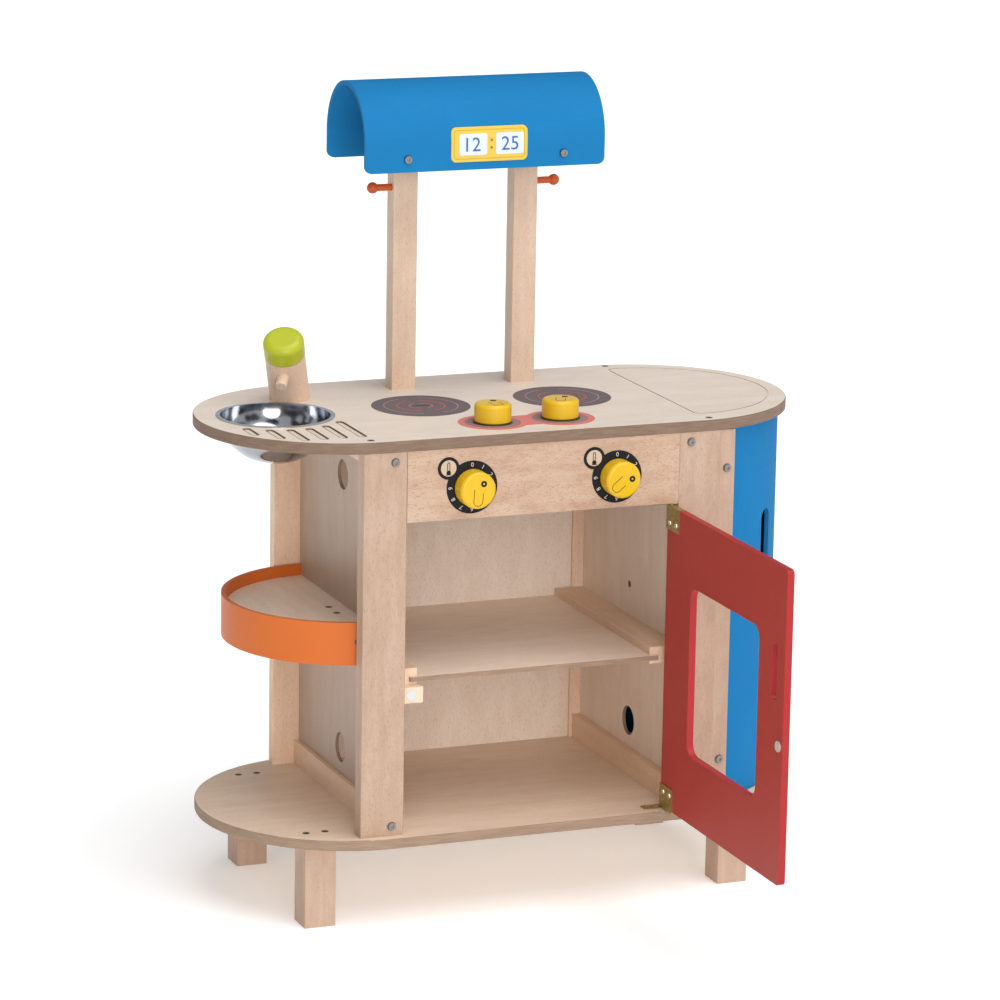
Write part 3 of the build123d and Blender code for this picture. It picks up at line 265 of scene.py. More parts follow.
def build_wood_grain(name):
    """Streaks, cloudy patches, fine fibres and short flecks that run along X."""
    tree, start, end = new_group(
        name,
        [
            ("Along", "NodeSocketVector", (0, 0, 0)),
            ("Pale", "NodeSocketColor", (0.8, 0.7, 0.6, 1)),
            ("Deep", "NodeSocketColor", (0.6, 0.5, 0.4, 1)),
            ("Streaks", "NodeSocketFloat", 0.5),
            ("Fibres", "NodeSocketFloat", 0.3),
            ("Flecks", "NodeSocketFloat", 0.3),
            ("Patches", "NodeSocketFloat", 0.4),
            ("Streaks per metre", "NodeSocketFloat", 110.0),
        ],
        [("Colour", "NodeSocketColor"), ("Roughness", "NodeSocketFloat"), ("Height", "NodeSocketFloat")],
    )
    along = start["Along"]
    wander = add(tree, "ShaderNodeTexNoise", {"Vector": along, "Scale": 9.0, "Detail": 1.0}).outputs[0]
    shift = add(tree, "ShaderNodeCombineXYZ", {"Y": maths(tree, "MULTIPLY", wander, 0.02)}).outputs[0]
    bent = add(tree, "ShaderNodeVectorMath", {0: along, 1: shift}, operation="ADD").outputs[0]
    streaks = noise(tree, times(tree, bent, 4.5, start["Streaks per metre"]), 3.0, 0.55)
    streaks = spread(tree, streaks, 0.36, 0.66)
    broad = spread(tree, noise(tree, times(tree, bent, 2.0, 28.0), 2.0, 0.5), 0.35, 0.65)
    fibres = spread(tree, noise(tree, times(tree, bent, 26.0, 1300.0), 2.0, 0.6), 0.34, 0.68)
    flecks = spread(tree, noise(tree, times(tree, along, 330.0, 1500.0), 1.0, 0.5), 0.60, 0.72)
    both = maths(tree, "ADD", maths(tree, "MULTIPLY", streaks, 0.65), maths(tree, "MULTIPLY", broad, 0.35))
    share = maths(tree, "MULTIPLY", both, start["Streaks"])
    colour = blend_colours(tree, share, start["Pale"], start["Deep"])
    darker = blend_colours(tree, 1.0, start["Deep"], (0.70, 0.60, 0.54, 1), "MULTIPLY")
    patches = spread(tree, noise(tree, times(tree, along, 18.0, 48.0), 5.0, 0.66), 0.42, 0.68)
    colour = blend_colours(tree, maths(tree, "MULTIPLY", patches, start["Patches"]), colour, start["Deep"])
    colour = blend_colours(tree, maths(tree, "MULTIPLY", fibres, start["Fibres"]), colour, start["Deep"])
    colour = blend_colours(tree, maths(tree, "MULTIPLY", flecks, start["Flecks"]), colour, darker)
    tree.links.new(colour, end["Colour"])
    rough = maths(tree, "ADD", maths(tree, "MULTIPLY", fibres, 0.12), 0.42)
    tree.links.new(rough, end["Roughness"])
    pits = maths(tree, "MULTIPLY", flecks, -0.6)
    tree.links.new(maths(tree, "ADD", maths(tree, "MULTIPLY", fibres, 0.5), pits), end["Height"])
    return tree


def build_lacquer_coat(name):
    """A lacquer coat on wood: faint cloudy patches and the fibres of the wood showing through."""
    tree, start, end = new_group(
        name,
        [
            ("Along", "NodeSocketVector", (0, 0, 0)),
            ("Colour", "NodeSocketColor", (0.5, 0.5, 0.5, 1)),
            ("Clouds", "NodeSocketFloat", 0.15),
            ("Fibres", "NodeSocketFloat", 0.15),
            ("Roughness", "NodeSocketFloat", 0.35),
        ],
        [("Colour", "NodeSocketColor"), ("Roughness", "NodeSocketFloat"), ("Height", "NodeSocketFloat")],
    )
    along = start["Along"]
    clouds = spread(tree, noise(tree, times(tree, along, 14.0, 22.0), 3.0, 0.6), 0.3, 0.7)
    fibres = spread(tree, noise(tree, times(tree, along, 40.0, 1100.0), 2.0, 0.55), 0.32, 0.68)
    peel = spread(tree, noise(tree, times(tree, along, 260.0, 260.0), 2.0, 0.5), 0.3, 0.7)
    shade = blend_colours(tree, 1.0, start["Colour"], (0.66, 0.70, 0.74, 1), "MULTIPLY")
    colour = blend_colours(tree, maths(tree, "MULTIPLY", clouds, start["Clouds"]), start["Colour"], shade)
    colour = blend_colours(tree, maths(tree, "MULTIPLY", fibres, start["Fibres"]), colour, shade)
    tree.links.new(colour, end["Colour"])
    rough = maths(tree, "ADD", maths(tree, "MULTIPLY", peel, 0.08), start["Roughness"])
    tree.links.new(rough, end["Roughness"])
    relief = maths(tree, "MULTIPLY", fibres, start["Fibres"])
    tree.links.new(maths(tree, "ADD", relief, maths(tree, "MULTIPLY", peel, 0.2)), end["Height"])
    return tree


def build_face_mask(name):
    """One on the faces square to an axis, nought on the cut edges and rounded corners."""
    tree, start, end = new_group(
        name,
        [("Normal", "NodeSocketVector", (0, 0, 1)), ("Axis", "NodeSocketVector", (0, 0, 1))],
        [("Face", "NodeSocketFloat")],
    )
    inputs = {0: start["Normal"], 1: start["Axis"]}
    square = add(tree, "ShaderNodeVectorMath", inputs, operation="DOT_PRODUCT").outputs["Value"]
    size = add(tree, "ShaderNodeMath", {0: square}, operation="ABSOLUTE").outputs[0]
    tree.links.new(spread(tree, size, 0.86, 0.94), end["Face"])
    return tree


def build_plies(name):
    """The layers of a board's cut edge, across Z, with short torn fibres."""
    tree, start, end = new_group(
        name,
        [
            ("Place", "NodeSocketVector", (0, 0, 0)),
            ("Pale", "NodeSocketColor", (0.5, 0.4, 0.3, 1)),
            ("Deep", "NodeSocketColor", (0.4, 0.3, 0.2, 1)),
        ],
        [("Colour", "NodeSocketColor")],
    )
    inputs = {0: start["Place"], 1: (45.0, 45.0, 520.0)}
    scaled = add(tree, "ShaderNodeVectorMath", inputs, operation="MULTIPLY").outputs[0]
    plies = spread(tree, noise(tree, scaled, 3.0, 0.6), 0.35, 0.65)
    grit = spread(tree, noise(tree, times(tree, start["Place"], 900.0, 900.0), 2.0, 0.6), 0.35, 0.7)
    share = maths(tree, "ADD", maths(tree, "MULTIPLY", plies, 0.6), maths(tree, "MULTIPLY", grit, 0.3))
    tree.links.new(blend_colours(tree, share, start["Pale"], start["Deep"]), end["Colour"])
    return tree


def build_wear(name):
    """Faint scuffs and smudges that change how metal and print shine."""
    tree, start, end = new_group(
        name,
        [
            ("Place", "NodeSocketVector", (0, 0, 0)),
            ("Colour", "NodeSocketColor", (0.5, 0.5, 0.5, 1)),
            ("Tarnish", "NodeSocketFloat", 0.3),
            ("Roughness", "NodeSocketFloat", 0.3),
            ("Smudges per metre", "NodeSocketFloat", 300.0),
        ],
        [("Colour", "NodeSocketColor"), ("Roughness", "NodeSocketFloat"), ("Height", "NodeSocketFloat")],
    )
    grain = start["Smudges per metre"]
    smudges = spread(tree, noise(tree, times(tree, start["Place"], grain, grain), 4.0, 0.65), 0.35, 0.7)
    fine = spread(tree, noise(tree, times(tree, start["Place"], 2400.0, 2400.0), 1.0, 0.5), 0.3, 0.7)
    darker = blend_colours(tree, 1.0, start["Colour"], (0.52, 0.50, 0.47, 1), "MULTIPLY")
    share = maths(tree, "MULTIPLY", smudges, start["Tarnish"])
    tree.links.new(blend_colours(tree, share, start["Colour"], darker), end["Colour"])
    rough = maths(tree, "ADD", maths(tree, "MULTIPLY", smudges, 0.14), start["Roughness"])
    tree.links.new(rough, end["Roughness"])
    tree.links.new(maths(tree, "ADD", maths(tree, "MULTIPLY", fine, 0.3), smudges), end["Height"])
    return tree


# Materials

def grain_turn(grain):
    """Give the turn that brings a grain direction onto X."""
    return grain.rotation_difference(RIGHT).to_euler()


def start_material(name, grain=RIGHT, offset=0.0):
    """Make a material and give it, its shader, and object coordinates turned so that the grain is along X."""
    material = bpy.data.materials.new(name)
    material.use_nodes = True
    tree = material.node_tree
    shader = tree.nodes["Principled BSDF"]
    coordinates = add(tree, "ShaderNodeTexCoord").outputs
    inputs = {
        "Vector": coordinates["Object"],
        "Rotation": grain_turn(grain),
        "Location": (offset, offset, offset),
    }
    along = add(tree, "ShaderNodeMapping", inputs).outputs[0]
    return material, tree, shader, coordinates, along


def lay_relief(tree, shader, height, strength, depth):
    """Give the shader a relief of a depth from an effect's height."""
    inputs = {"Strength": strength, "Distance": depth, "Height": height}
    tree.links.new(add(tree, "ShaderNodeBump", inputs).outputs["Normal"], shader.inputs["Normal"])


def lay_effect(tree, shader, made, depth):
    """Link an effect's colour, roughness and height to the shader."""
    tree.links.new(made.outputs["Colour"], shader.inputs["Base Color"])
    tree.links.new(made.outputs["Roughness"], shader.inputs["Roughness"])
    lay_relief(tree, shader, made.outputs["Height"], 0.6, depth)


def wood(name, grain, face, offset=0.0, streaks=0.55, fibres=0.3, flecks=0.5, patches=0.5, per_metre=110.0):
    """Clear-coated wood in a pale and a deep colour, whose grain runs in a direction."""
    pale, deep = face
    material, tree, shader, _, along = start_material(name, grain, offset)
    inputs = {
        "Along": along,
        "Pale": pale,
        "Deep": deep,
        "Streaks": streaks,
        "Fibres": fibres,
        "Flecks": flecks,
        "Patches": patches,
        "Streaks per metre": per_metre,
    }
    lay_effect(tree, shader, effect(tree, "Wood grain", build_wood_grain, inputs), 0.06 * MM)
    shader.inputs["Specular IOR Level"].default_value = 0.35
    return material


def face_mask(tree, coordinates, axis):
    """Give one on the faces square to an axis and nought elsewhere."""
    inputs = {"Normal": coordinates["Normal"], "Axis": axis}
    return effect(tree, "Face mask", build_face_mask, inputs).outputs["Face"]


def board(name, grain, axis, face, edge, offset=0.0):
    """A veneered board: wood grain on its faces, plies on its cut edges and in its grooves and holes."""
    pale, deep = face
    material, tree, shader, coordinates, along = start_material(name, grain, offset)
    inputs = {
        "Along": along,
        "Pale": pale,
        "Deep": deep,
        "Streaks": 0.35,
        "Fibres": 0.2,
        "Flecks": 0.5,
        "Streaks per metre": 70.0,
    }
    top = effect(tree, "Wood grain", build_wood_grain, inputs)
    pale, deep = edge
    inputs = {"Place": coordinates["Object"], "Pale": pale, "Deep": deep}
    side = effect(tree, "Board plies", build_plies, inputs)
    face_share = face_mask(tree, coordinates, axis)
    colour = blend_colours(tree, face_share, side.outputs["Colour"], top.outputs["Colour"])
    tree.links.new(colour, shader.inputs["Base Color"])
    rough = maths(tree, "SUBTRACT", 0.62, maths(tree, "MULTIPLY", face_share, 0.2))
    tree.links.new(rough, shader.inputs["Roughness"])
    lay_relief(tree, shader, top.outputs["Height"], 0.5, 0.08 * MM)
    shader.inputs["Specular IOR Level"].default_value = 0.3
    return material


def lay_coat(shader, shine, coat, coat_roughness):
    """Set how strongly a lacquer and the clear coat over it reflect."""
    shader.inputs["Specular IOR Level"].default_value = shine
    shader.inputs["Coat Weight"].default_value = coat
    shader.inputs["Coat Roughness"].default_value = coat_roughness


def lacquer(name, colour, grain, clouds, fibres, rough, coat, shine):
    """Coloured lacquer on wood."""
    material, tree, shader, _, along = start_material(name, grain)
    inputs = {"Along": along, "Colour": colour, "Clouds": clouds, "Fibres": fibres, "Roughness": rough}
    lay_effect(tree, shader, effect(tree, "Lacquer coat", build_lacquer_coat, inputs), 0.05 * MM)
    lay_coat(shader, shine, coat, 0.16)
    return material


def stained_door(name, face, edge, axis):
    """Red lacquer whose cut edges are a purer red than its faces."""
    material, tree, shader, coordinates, along = start_material(name, UP)
    colour = blend_colours(tree, face_mask(tree, coordinates, axis), edge, face)
    inputs = {"Along": along, "Colour": colour, "Clouds": 0.12, "Fibres": 0.22, "Roughness": 0.42}
    lay_effect(tree, shader, effect(tree, "Lacquer coat", build_lacquer_coat, inputs), 0.05 * MM)
    lay_coat(shader, 0.25, 0.05, 0.3)
    return material


def worn(name, colour, metal, tarnish, rough, grain, depth=0.02 * MM, shine=0.5):
    """Metal, print or plain plastic with faint smudges. Its grain is in smudges per metre."""
    material, tree, shader, coordinates, _ = start_material(name)
    inputs = {
        "Place": coordinates["Object"],
        "Colour": colour,
        "Tarnish": tarnish,
        "Roughness": rough,
        "Smudges per metre": grain,
    }
    lay_effect(tree, shader, effect(tree, "Wear", build_wear, inputs), depth)
    shader.inputs["Metallic"].default_value = metal
    shader.inputs["Specular IOR Level"].default_value = shine
    return material


def printed(name, colour, tarnish=0.15):
    """Matt printing ink; the painted shadow round the worktop knobs uses it too."""
    return worn(name, colour, metal=0.0, tarnish=tarnish, rough=0.55, grain=400.0, shine=0.15)


def finish(material, *nodes):
    """Give a material to nodes of the fixed model, on their objects."""
    for name in nodes:
        slot = frame["nodes"][name].material_slots[0]
        slot.link = "OBJECT"
        slot.material = material


# Mesh helpers. Marks are drawn lying in the XY plane, with +Z out of the face that they are printed on

def lying(origin, across, outward):
    """Give the placing of a mark: its middle, the direction of its X, and the way out of the face."""
    side = across.normalized()
    out = outward.normalized()
    turn = Matrix((side, out.cross(side), out)).transposed().to_4x4()
    return Matrix.Translation(origin) @ turn


def thicken(bm, low, high):
    """Give flat faces their thickness, from low to high."""
    bmesh.ops.translate(bm, verts=bm.verts, vec=(0, 0, low))
    raised = bmesh.ops.extrude_face_region(bm, geom=list(bm.faces))["geom"]
    moved = [item for item in raised if isinstance(item, bmesh.types.BMVert)]
    bmesh.ops.translate(bm, verts=moved, vec=(0, 0, high - low))


def disc(radius, low, high, segments=64):
    """A thin round plate."""
    bm = bmesh.new()
    bmesh.ops.create_circle(bm, cap_ends=True, radius=radius, segments=segments)
    thicken(bm, low, high)
    return bm


def ring(radius, width, low, high, first=0.0, sweep=FULL_TURN, steps=64):
    """A thin ring, or a part of one from the angle first."""
    bm = bmesh.new()
    corners = [
        bm.verts.new((radius + edge * width / 2, 0, height))
        for edge, height in ((-1, low), (1, low), (1, high), (-1, high))
    ]
    closed = sweep >= FULL_TURN
    sides = [bm.edges.new((corners[index], corners[(index + 1) % 4])) for index in range(4)]
    section = corners + sides
    if not closed:
        section.append(bm.faces.new(corners))
    bmesh.ops.rotate(bm, verts=corners, cent=(0, 0, 0), matrix=Matrix.Rotation(first, 3, "Z"))
    bmesh.ops.spin(
        bm, geom=section, cent=(0, 0, 0), axis=(0, 0, 1), angle=sweep, steps=steps, use_merge=closed
    )
    return bm


def bar(length, width, low, high):
    """A thin straight line along X."""
    bm = bmesh.new()
    bmesh.ops.create_grid(bm, x_segments=1, y_segments=1, size=0.5)
    bmesh.ops.scale(bm, vec=(length, width, 1), verts=bm.verts)
    thicken(bm, low, high)
    return bm


def rounded_face(width, height, corner):
    """A flat rectangle with round corners."""
    bm = bmesh.new()
    bmesh.ops.create_grid(bm, x_segments=1, y_segments=1, size=0.5)
    bmesh.ops.scale(bm, vec=(width, height, 1), verts=bm.verts)
    bmesh.ops.bevel(
        bm,
        geom=list(bm.verts),
        offset=corner,
        offset_type="OFFSET",
        segments=8,
        profile=0.5,
        affect="VERTICES",
        material=-1,
        clamp_overlap=True,
    )
    return bm


def rounded_plate(width, height, corner, low, high):
    """A thin plate with round corners."""
    bm = rounded_face(width, height, corner)
    thicken(bm, low, high)
    return bm


def rounded_frame(width, height, corner, line, low, high):
    """A thin line round a rectangle with round corners."""
    bm = rounded_face(width, height, corner)
    inner = list(bm.faces)
    bmesh.ops.inset_region(bm, faces=inner, thickness=line, use_boundary=True, use_even_offset=True)
    bmesh.ops.delete(bm, geom=inner, context="FACES_ONLY")
    thicken(bm, low, high)
    return bm


def figures(text, height, low, high):
    """Plain upright figures, centred, as a thin solid."""
    curve = bpy.data.curves.new("figures", "FONT")
    curve.body = text
    curve.resolution_u = 4
    curve.extrude = 0.5
    writer = bpy.data.objects.new("figures", curve)
    mesh = bpy.data.meshes.new_from_object(writer)
    bm = bmesh.new()
    bm.from_mesh(mesh)
    bpy.data.objects.remove(writer)
    bpy.data.curves.remove(curve)
    bpy.data.meshes.remove(mesh)
    bmesh.ops.remove_doubles(bm, verts=bm.verts, dist=0.0001)
    xs = [vert.co.x for vert in bm.verts]
    ys = [vert.co.y for vert in bm.verts]
    middle = Vector(((min(xs) + max(xs)) / 2, (min(ys) + max(ys)) / 2, 0))
    size = height / (max(ys) - min(ys))
    bmesh.ops.translate(bm, verts=bm.verts, vec=-middle)
    bmesh.ops.scale(bm, verts=bm.verts, vec=(size, size, high - low))
    bmesh.ops.translate(bm, verts=bm.verts, vec=(0, 0, (low + high) / 2))
    return bm


def placed(bm, placing):
    """Move a mark to its place."""
    bmesh.ops.transform(bm, matrix=placing, verts=bm.verts)
    return bm


def joined(parts, name):
    """Join marks into one mesh."""
    whole = bmesh.new()
    for part in parts:
        mesh = bpy.data.meshes.new(name)
        part.to_mesh(mesh)
        part.free()
        whole.from_mesh(mesh)
        bpy.data.meshes.remove(mesh)
    return whole


def piece(name, bm, material, body):
    """Finish a mesh as a piece that rides on a body."""
    bmesh.ops.recalc_face_normals(bm, faces=bm.faces)
    mesh = bpy.data.meshes.new(name)
    bm.to_mesh(mesh)
    bm.free()
    mesh.materials.append(material)
    made = bpy.data.objects.new(name, mesh)
    bpy.context.scene.collection.objects.link(made)
    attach(made, body)


def bend_to_hood(bm):
    """Cut an upright mark into narrow strips and bend it round the hood. It stands out along -Y."""
    strip = 1.5 * MM
    low = min(vert.co.z for vert in bm.verts)
    high = max(vert.co.z for vert in bm.verts)
    level = low + strip
    while level < high:
        bmesh.ops.bisect_plane(
            bm,
            geom=bm.verts[:] + bm.edges[:] + bm.faces[:],
            plane_co=(0, 0, level),
            plane_no=(0, 0, 1),
        )
        level += strip
    for vert in bm.verts:
        radius = CLOCK_RADIUS - vert.co.y
        rise = max(vert.co.z - HOOD_AXIS_Z, 0)
        vert.co.y = HOOD_AXIS_Y - sqrt(radius**2 - rise**2)
    return bm


def settings(context):
    """Give the sizes and colours of the scene."""
    return context.scene.kitchen_sizes, context.scene.kitchen_colours


class KITCHEN_OT_solid_wood(bpy.types.Operator):
    """Give the posts, rails, feet, strips and small blocks their beech"""

    bl_idname = "kitchen.solid_wood"
    bl_label = "Solid wood"

    def execute(self, context):
        _, colours = settings(context)
        # Painted light and shade: beech is the pale copy for the shaded pieces inside, and front is the
        # darker copy for the lit front pieces and the back feet.
        beech = (colours.beech, colours.beech_deep)
        front = (colours.front, colours.front_deep)
        hood = (paint(224, 198, 174), paint(202, 170, 146))
        block = (paint(236, 222, 196), paint(220, 196, 160))
        tap = (paint(242, 214, 190), paint(216, 182, 156))
        front_pieces = (
            "front_post_left front_post_right fridge_front_strip "
            "foot_front_left foot_front_right foot_back_left foot_back_right"
        ).split()
        for count, name in enumerate(front_pieces):
            finish(wood(f"beech {name}", UP, front, offset=0.37 * count, streaks=0.45), name)
        for count, name in enumerate(("back_stile_left", "back_stile_right", "fridge_back_strip")):
            finish(wood(f"beech {name}", UP, beech, offset=3 + 0.37 * count, streaks=0.45), name)
        for count, name in enumerate(("hood_post_left", "hood_post_right")):
            finish(wood(f"beech {name}", UP, hood, offset=4 + 0.53 * count), name)
        finish(wood("beech front to back", BACK, beech), "side_rails", "shelf_runners", "shelf_cleats")
        finish(wood("beech arms", BACK, beech, offset=2.1), "hood_arms")
        finish(wood("beech block", UP, block, offset=1.3), "catch_block")
        finish(wood("beech tap", TAP_AXIS, tap, per_metre=160.0), "tap_body", "tap_spout")
        return {"FINISHED"}


class KITCHEN_OT_boards(bpy.types.Operator):
    """Give the worktop, base board, panels and shelves their veneer and cut edges"""

    bl_idname = "kitchen.boards"
    bl_label = "Boards and panels"

    def execute(self, context):
        _, colours = settings(context)
        worktop = (colours.worktop, colours.worktop_deep)
        worktop_edge = (colours.worktop_edge, colours.worktop_edge_deep)
        base = (colours.base, colours.base_deep)
        edge = (colours.cut_edge, colours.cut_edge_deep)
        panel = (colours.panel, colours.panel_deep)
        # Painted shade: the left side panel gets a darker copy of the panel veneer, for its outer face, which
        # turns away from the light.
        left_panel_painted_shade = (paint(196, 174, 156), paint(176, 150, 130))
        # Painted light: the shelves get a paler copy of the panel veneer, to lift the shade on them inside
        # the cabinet and under the worktop.
        shelf = (paint(250, 232, 214), paint(228, 203, 180))
        finish(board("worktop veneer", RIGHT, UP, worktop, worktop_edge), "worktop")
        finish(board("base veneer", RIGHT, UP, base, edge, offset=0.7), "base_board")
        finish(board("side panel veneer", UP, RIGHT, panel, edge), "side_panel_right")
        finish(board("left side panel veneer with painted shade", UP, RIGHT, left_panel_painted_shade, edge, offset=0.4), "side_panel_left")
        finish(board("back panel veneer", UP, BACK, panel, edge, offset=1.1), "back_panel")
        finish(board("shelf veneer", RIGHT, UP, shelf, edge, offset=1.9), "middle_shelf")
        round_shelf = board("round shelf veneer", BACK, UP, shelf, edge, offset=2.4)
        finish(round_shelf, "side_shelf", "fridge_shelf")
        control_panel = wood(
            "control panel veneer",
            RIGHT,
            (paint(204, 178, 155), paint(182, 145, 120)),
            streaks=0.4,
            fibres=0.25,
            flecks=0.8,
            patches=0.9,
            per_metre=90.0,
        )
        finish(control_panel, "control_panel")
        return {"FINISHED"}


class KITCHEN_OT_lacquers(bpy.types.Operator):
    """Give the coloured pieces their lacquer"""

    bl_idname = "kitchen.lacquers"
    bl_label = "Coloured lacquers"

    def execute(self, context):
        _, colours = settings(context)
        matt = {"clouds": 0.25, "fibres": 0.2, "rough": 0.66, "coat": 0.0, "shine": 0.12}
        rail = {"clouds": 0.12, "fibres": 0.12, "rough": 0.4, "coat": 0.05, "shine": 0.25}
        peg = {"clouds": 0.15, "fibres": 0.1, "rough": 0.36, "coat": 0.1, "shine": 0.3}
        knob = {"clouds": 0.1, "fibres": 0.06, "rough": 0.3, "coat": 0.2, "shine": 0.35}
        cap = {"clouds": 0.12, "fibres": 0.08, "rough": 0.3, "coat": 0.15, "shine": 0.3}
        finish(lacquer("blue hood", colours.blue, RIGHT, **matt), "hood_shell")
        finish(lacquer("blue fridge door", colours.blue, UP, **matt), "fridge_door")
        finish(stained_door("red oven door", colours.red, colours.red_edge, RIGHT), "oven_door")
        finish(lacquer("orange rail", colours.orange, BACK, **rail), "rail_band")
        finish(lacquer("orange pegs", paint(198, 84, 34), RIGHT, **peg), "hook_pegs")
        yellow = lacquer("yellow knobs", colours.yellow, RIGHT, **knob)
        finish(yellow, *OVEN_KNOBS.values(), *HOB_KNOBS.values())
        finish(lacquer("lime cap", colours.lime, TAP_AXIS, **cap), "tap_cap")
        return {"FINISHED"}


class KITCHEN_OT_metals(bpy.types.Operator):
    """Give the bowl, screws, hinges, pins and magnet their metal, and the washers under the worktop knobs a
    dark colour that is painted shade at the knobs' base
    """

    bl_idname = "kitchen.metals"
    bl_label = "Metals and washers"

    def execute(self, context):
        polished = {"metal": 1.0, "tarnish": 0.3, "rough": 0.08, "grain": 40.0, "depth": 0.01 * MM}
        nickel = {"metal": 1.0, "tarnish": 0.4, "rough": 0.24, "grain": 500.0}
        magnet = {"metal": 1.0, "tarnish": 0.2, "rough": 0.18, "grain": 500.0}
        striker = {"metal": 0.6, "tarnish": 0.2, "rough": 0.3, "grain": 500.0}
        brass = {"metal": 1.0, "tarnish": 0.55, "rough": 0.3, "grain": 220.0}
        pale = {"metal": 1.0, "tarnish": 0.25, "rough": 0.2, "grain": 500.0}
        dark = {"metal": 0.9, "tarnish": 0.4, "rough": 0.42, "grain": 600.0}
        # Painted shade: the washers' dark colour stands for the shade at the base of the worktop knobs.
        washer = {"metal": 0.0, "tarnish": 0.3, "rough": 0.4, "grain": 300.0}
        nickel_nodes = "frame_screws hood_screws strip_screws knob_pins tap_pin fridge_pins".split()
        finish(worn("polished steel", paint(182, 185, 192), **polished), "sink_bowl")
        finish(worn("nickel screws", paint(150, 146, 144), **nickel), *nickel_nodes)
        finish(worn("nickel magnet", paint(226, 226, 226), **magnet), "catch_magnet")
        finish(worn("pale striker", paint(236, 230, 222), **striker), "door_striker")
        finish(worn("aged brass", paint(190, 176, 118), **brass), "door_hinge_leaves", "hinge_plates")
        finish(worn("pale screws", paint(226, 218, 196), **pale), "leaf_screws", "plate_screws")
        finish(worn("dark screws", paint(112, 98, 88), **dark), "wood_screws", "shelf_screws", "band_screws")
        finish(worn("knob base painted shade", paint(74, 66, 40), **washer), "knob_washers")
        return {"FINISHED"}


class KITCHEN_OT_prints(bpy.types.Operator):
    """Give the printed discs and the clock's plate their ink"""

    bl_idname = "kitchen.prints"
    bl_label = "Printed grounds"

    def execute(self, context):
        _, colours = settings(context)
        finish(printed("dial print", colours.ink_dark), "dial_prints")
        finish(printed("hob print", colours.ink_grey, 0.4), "hob_prints")
        finish(printed("zone print", colours.ink_red, 0.25), "knob_zone_print")
        plate = worn("clock plate", colours.clock, metal=0.0, tarnish=0.08, rough=0.35, grain=300.0)
        finish(plate, "clock_plate")
        return {"FINISHED"}


class KITCHEN_OT_hob_rings(bpy.types.Operator):
    """Print the broken rings and the middle bar on both hobs"""

    bl_idname = "kitchen.hob_rings"
    bl_label = "Hob rings"

    def execute(self, context):
        sizes, _ = settings(context)
        inks = {
            "outer": (sizes.ring_outer, printed("lilac ink", paint(170, 132, 142))),
            "middle": (sizes.ring_middle, printed("red ink", paint(196, 100, 92))),
            "inner": (sizes.ring_inner, printed("pink ink", paint(196, 118, 116))),
        }
        brown = printed("brown ink", paint(70, 50, 50))
        gap = radians(16)
        for side, word in ((-1, "left"), (1, "right")):
            middle_x = side * (HOB_HIGH.x - HOB_RADIUS)
            origin = Vector((middle_x, (HOB_LOW.y + HOB_HIGH.y) / 2, HOB_FACE))
            placing = lying(origin, RIGHT, UP)
            for label, (radius, ink) in inks.items():
                arcs = [
                    ring(radius, sizes.ring_width, -sizes.sink, sizes.ink, first, HALF_TURN - 2 * gap, 40)
                    for first in (gap - pi / 2, gap + pi / 2)
                ]
                whole = placed(joined(arcs, "arcs"), placing)
                piece(f"hob_ring_{label}_{word}", whole, ink, "root")
            middle = bar(1.5 * sizes.ring_inner, 2 * sizes.ring_width, -sizes.sink, sizes.ink)
            piece(f"hob_middle_{word}", placed(middle, placing), brown, "root")
        return {"FINISHED"}


class KITCHEN_OT_drain_edges(bpy.types.Operator):
    """Draw a thin dark outline round the edges of each drain groove"""

    bl_idname = "kitchen.drain_edges"
    bl_label = "Drain groove edges"

    def execute(self, context):
        sizes, _ = settings(context)
        # A thin dark outline round each drain groove.
        groove_outline = printed("dark groove outline", paint(96, 72, 58), 0.4)
        sink_low, sink_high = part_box("sink_bowl")
        sink = (sink_low + sink_high) / 2
        rim_reach = (sink_high.x - sink_low.x) / 2 + DRAIN_SINK_GAP + DRAIN_WIDTH / 2
        edge_reach = WORKTOP_HIGH.y - DRAIN_EDGE_GAP
        line = sizes.scorch_line
        width = DRAIN_WIDTH + 2 * line
        corner = width / 2.05
        for count in range(DRAIN_COUNT):
            x = DRAIN_FIRST_X - count * DRAIN_PITCH
            back = sink.y - sqrt(rim_reach**2 - (x - sink.x) ** 2)
            from_curve = x + WORKTOP_HIGH.x - WORKTOP_HIGH.y
            front = max(-sqrt(edge_reach**2 - from_curve**2), DRAIN_FRONT_Y)
            length = back - front + 2 * line
            outline = rounded_frame(width, length, corner, line, -sizes.sink, sizes.sink)
            place = Matrix.Translation((x, (back + front) / 2, WORKTOP_FACE))
            piece(f"drain_edge_{count + 1}", placed(outline, place), groove_outline, "root")
        return {"FINISHED"}


class KITCHEN_OT_knob_zone(bpy.types.Operator):
    """Lay the grey discs of painted shadow round the two worktop knobs, and print the thin rings on them"""

    bl_idname = "kitchen.knob_zone"
    bl_label = "Knob zone"

    def execute(self, context):
        sizes, _ = settings(context)
        washer_gap = 0.3 * MM
        ring_inset = 3 * MM
        ring_width = 0.8 * MM
        # Painted shadow: the grey ring round each worktop knob stands for the knob's shadow on the red zone.
        grey = printed("knob painted shadow ink", paint(146, 128, 128), 0.3)
        pink = printed("zone ring ink", paint(196, 110, 106))
        inner = WASHER_RADIUS + washer_gap
        outer = sizes.zone_disc
        for word, node in HOB_KNOBS.items():
            middle = centre_of(node)
            placing = lying(Vector((middle.x, middle.y, ZONE_FACE)), RIGHT, UP)
            ground = ring((inner + outer) / 2, outer - inner, -sizes.sink, sizes.ink)
            piece(f"zone_disc_{word}", placed(ground, placing), grey, "root")
            thin = ring(outer - ring_inset, ring_width, sizes.ink / 2, 2 * sizes.ink)
            piece(f"zone_ring_{word}", placed(thin, placing), pink, "root")
        return {"FINISHED"}


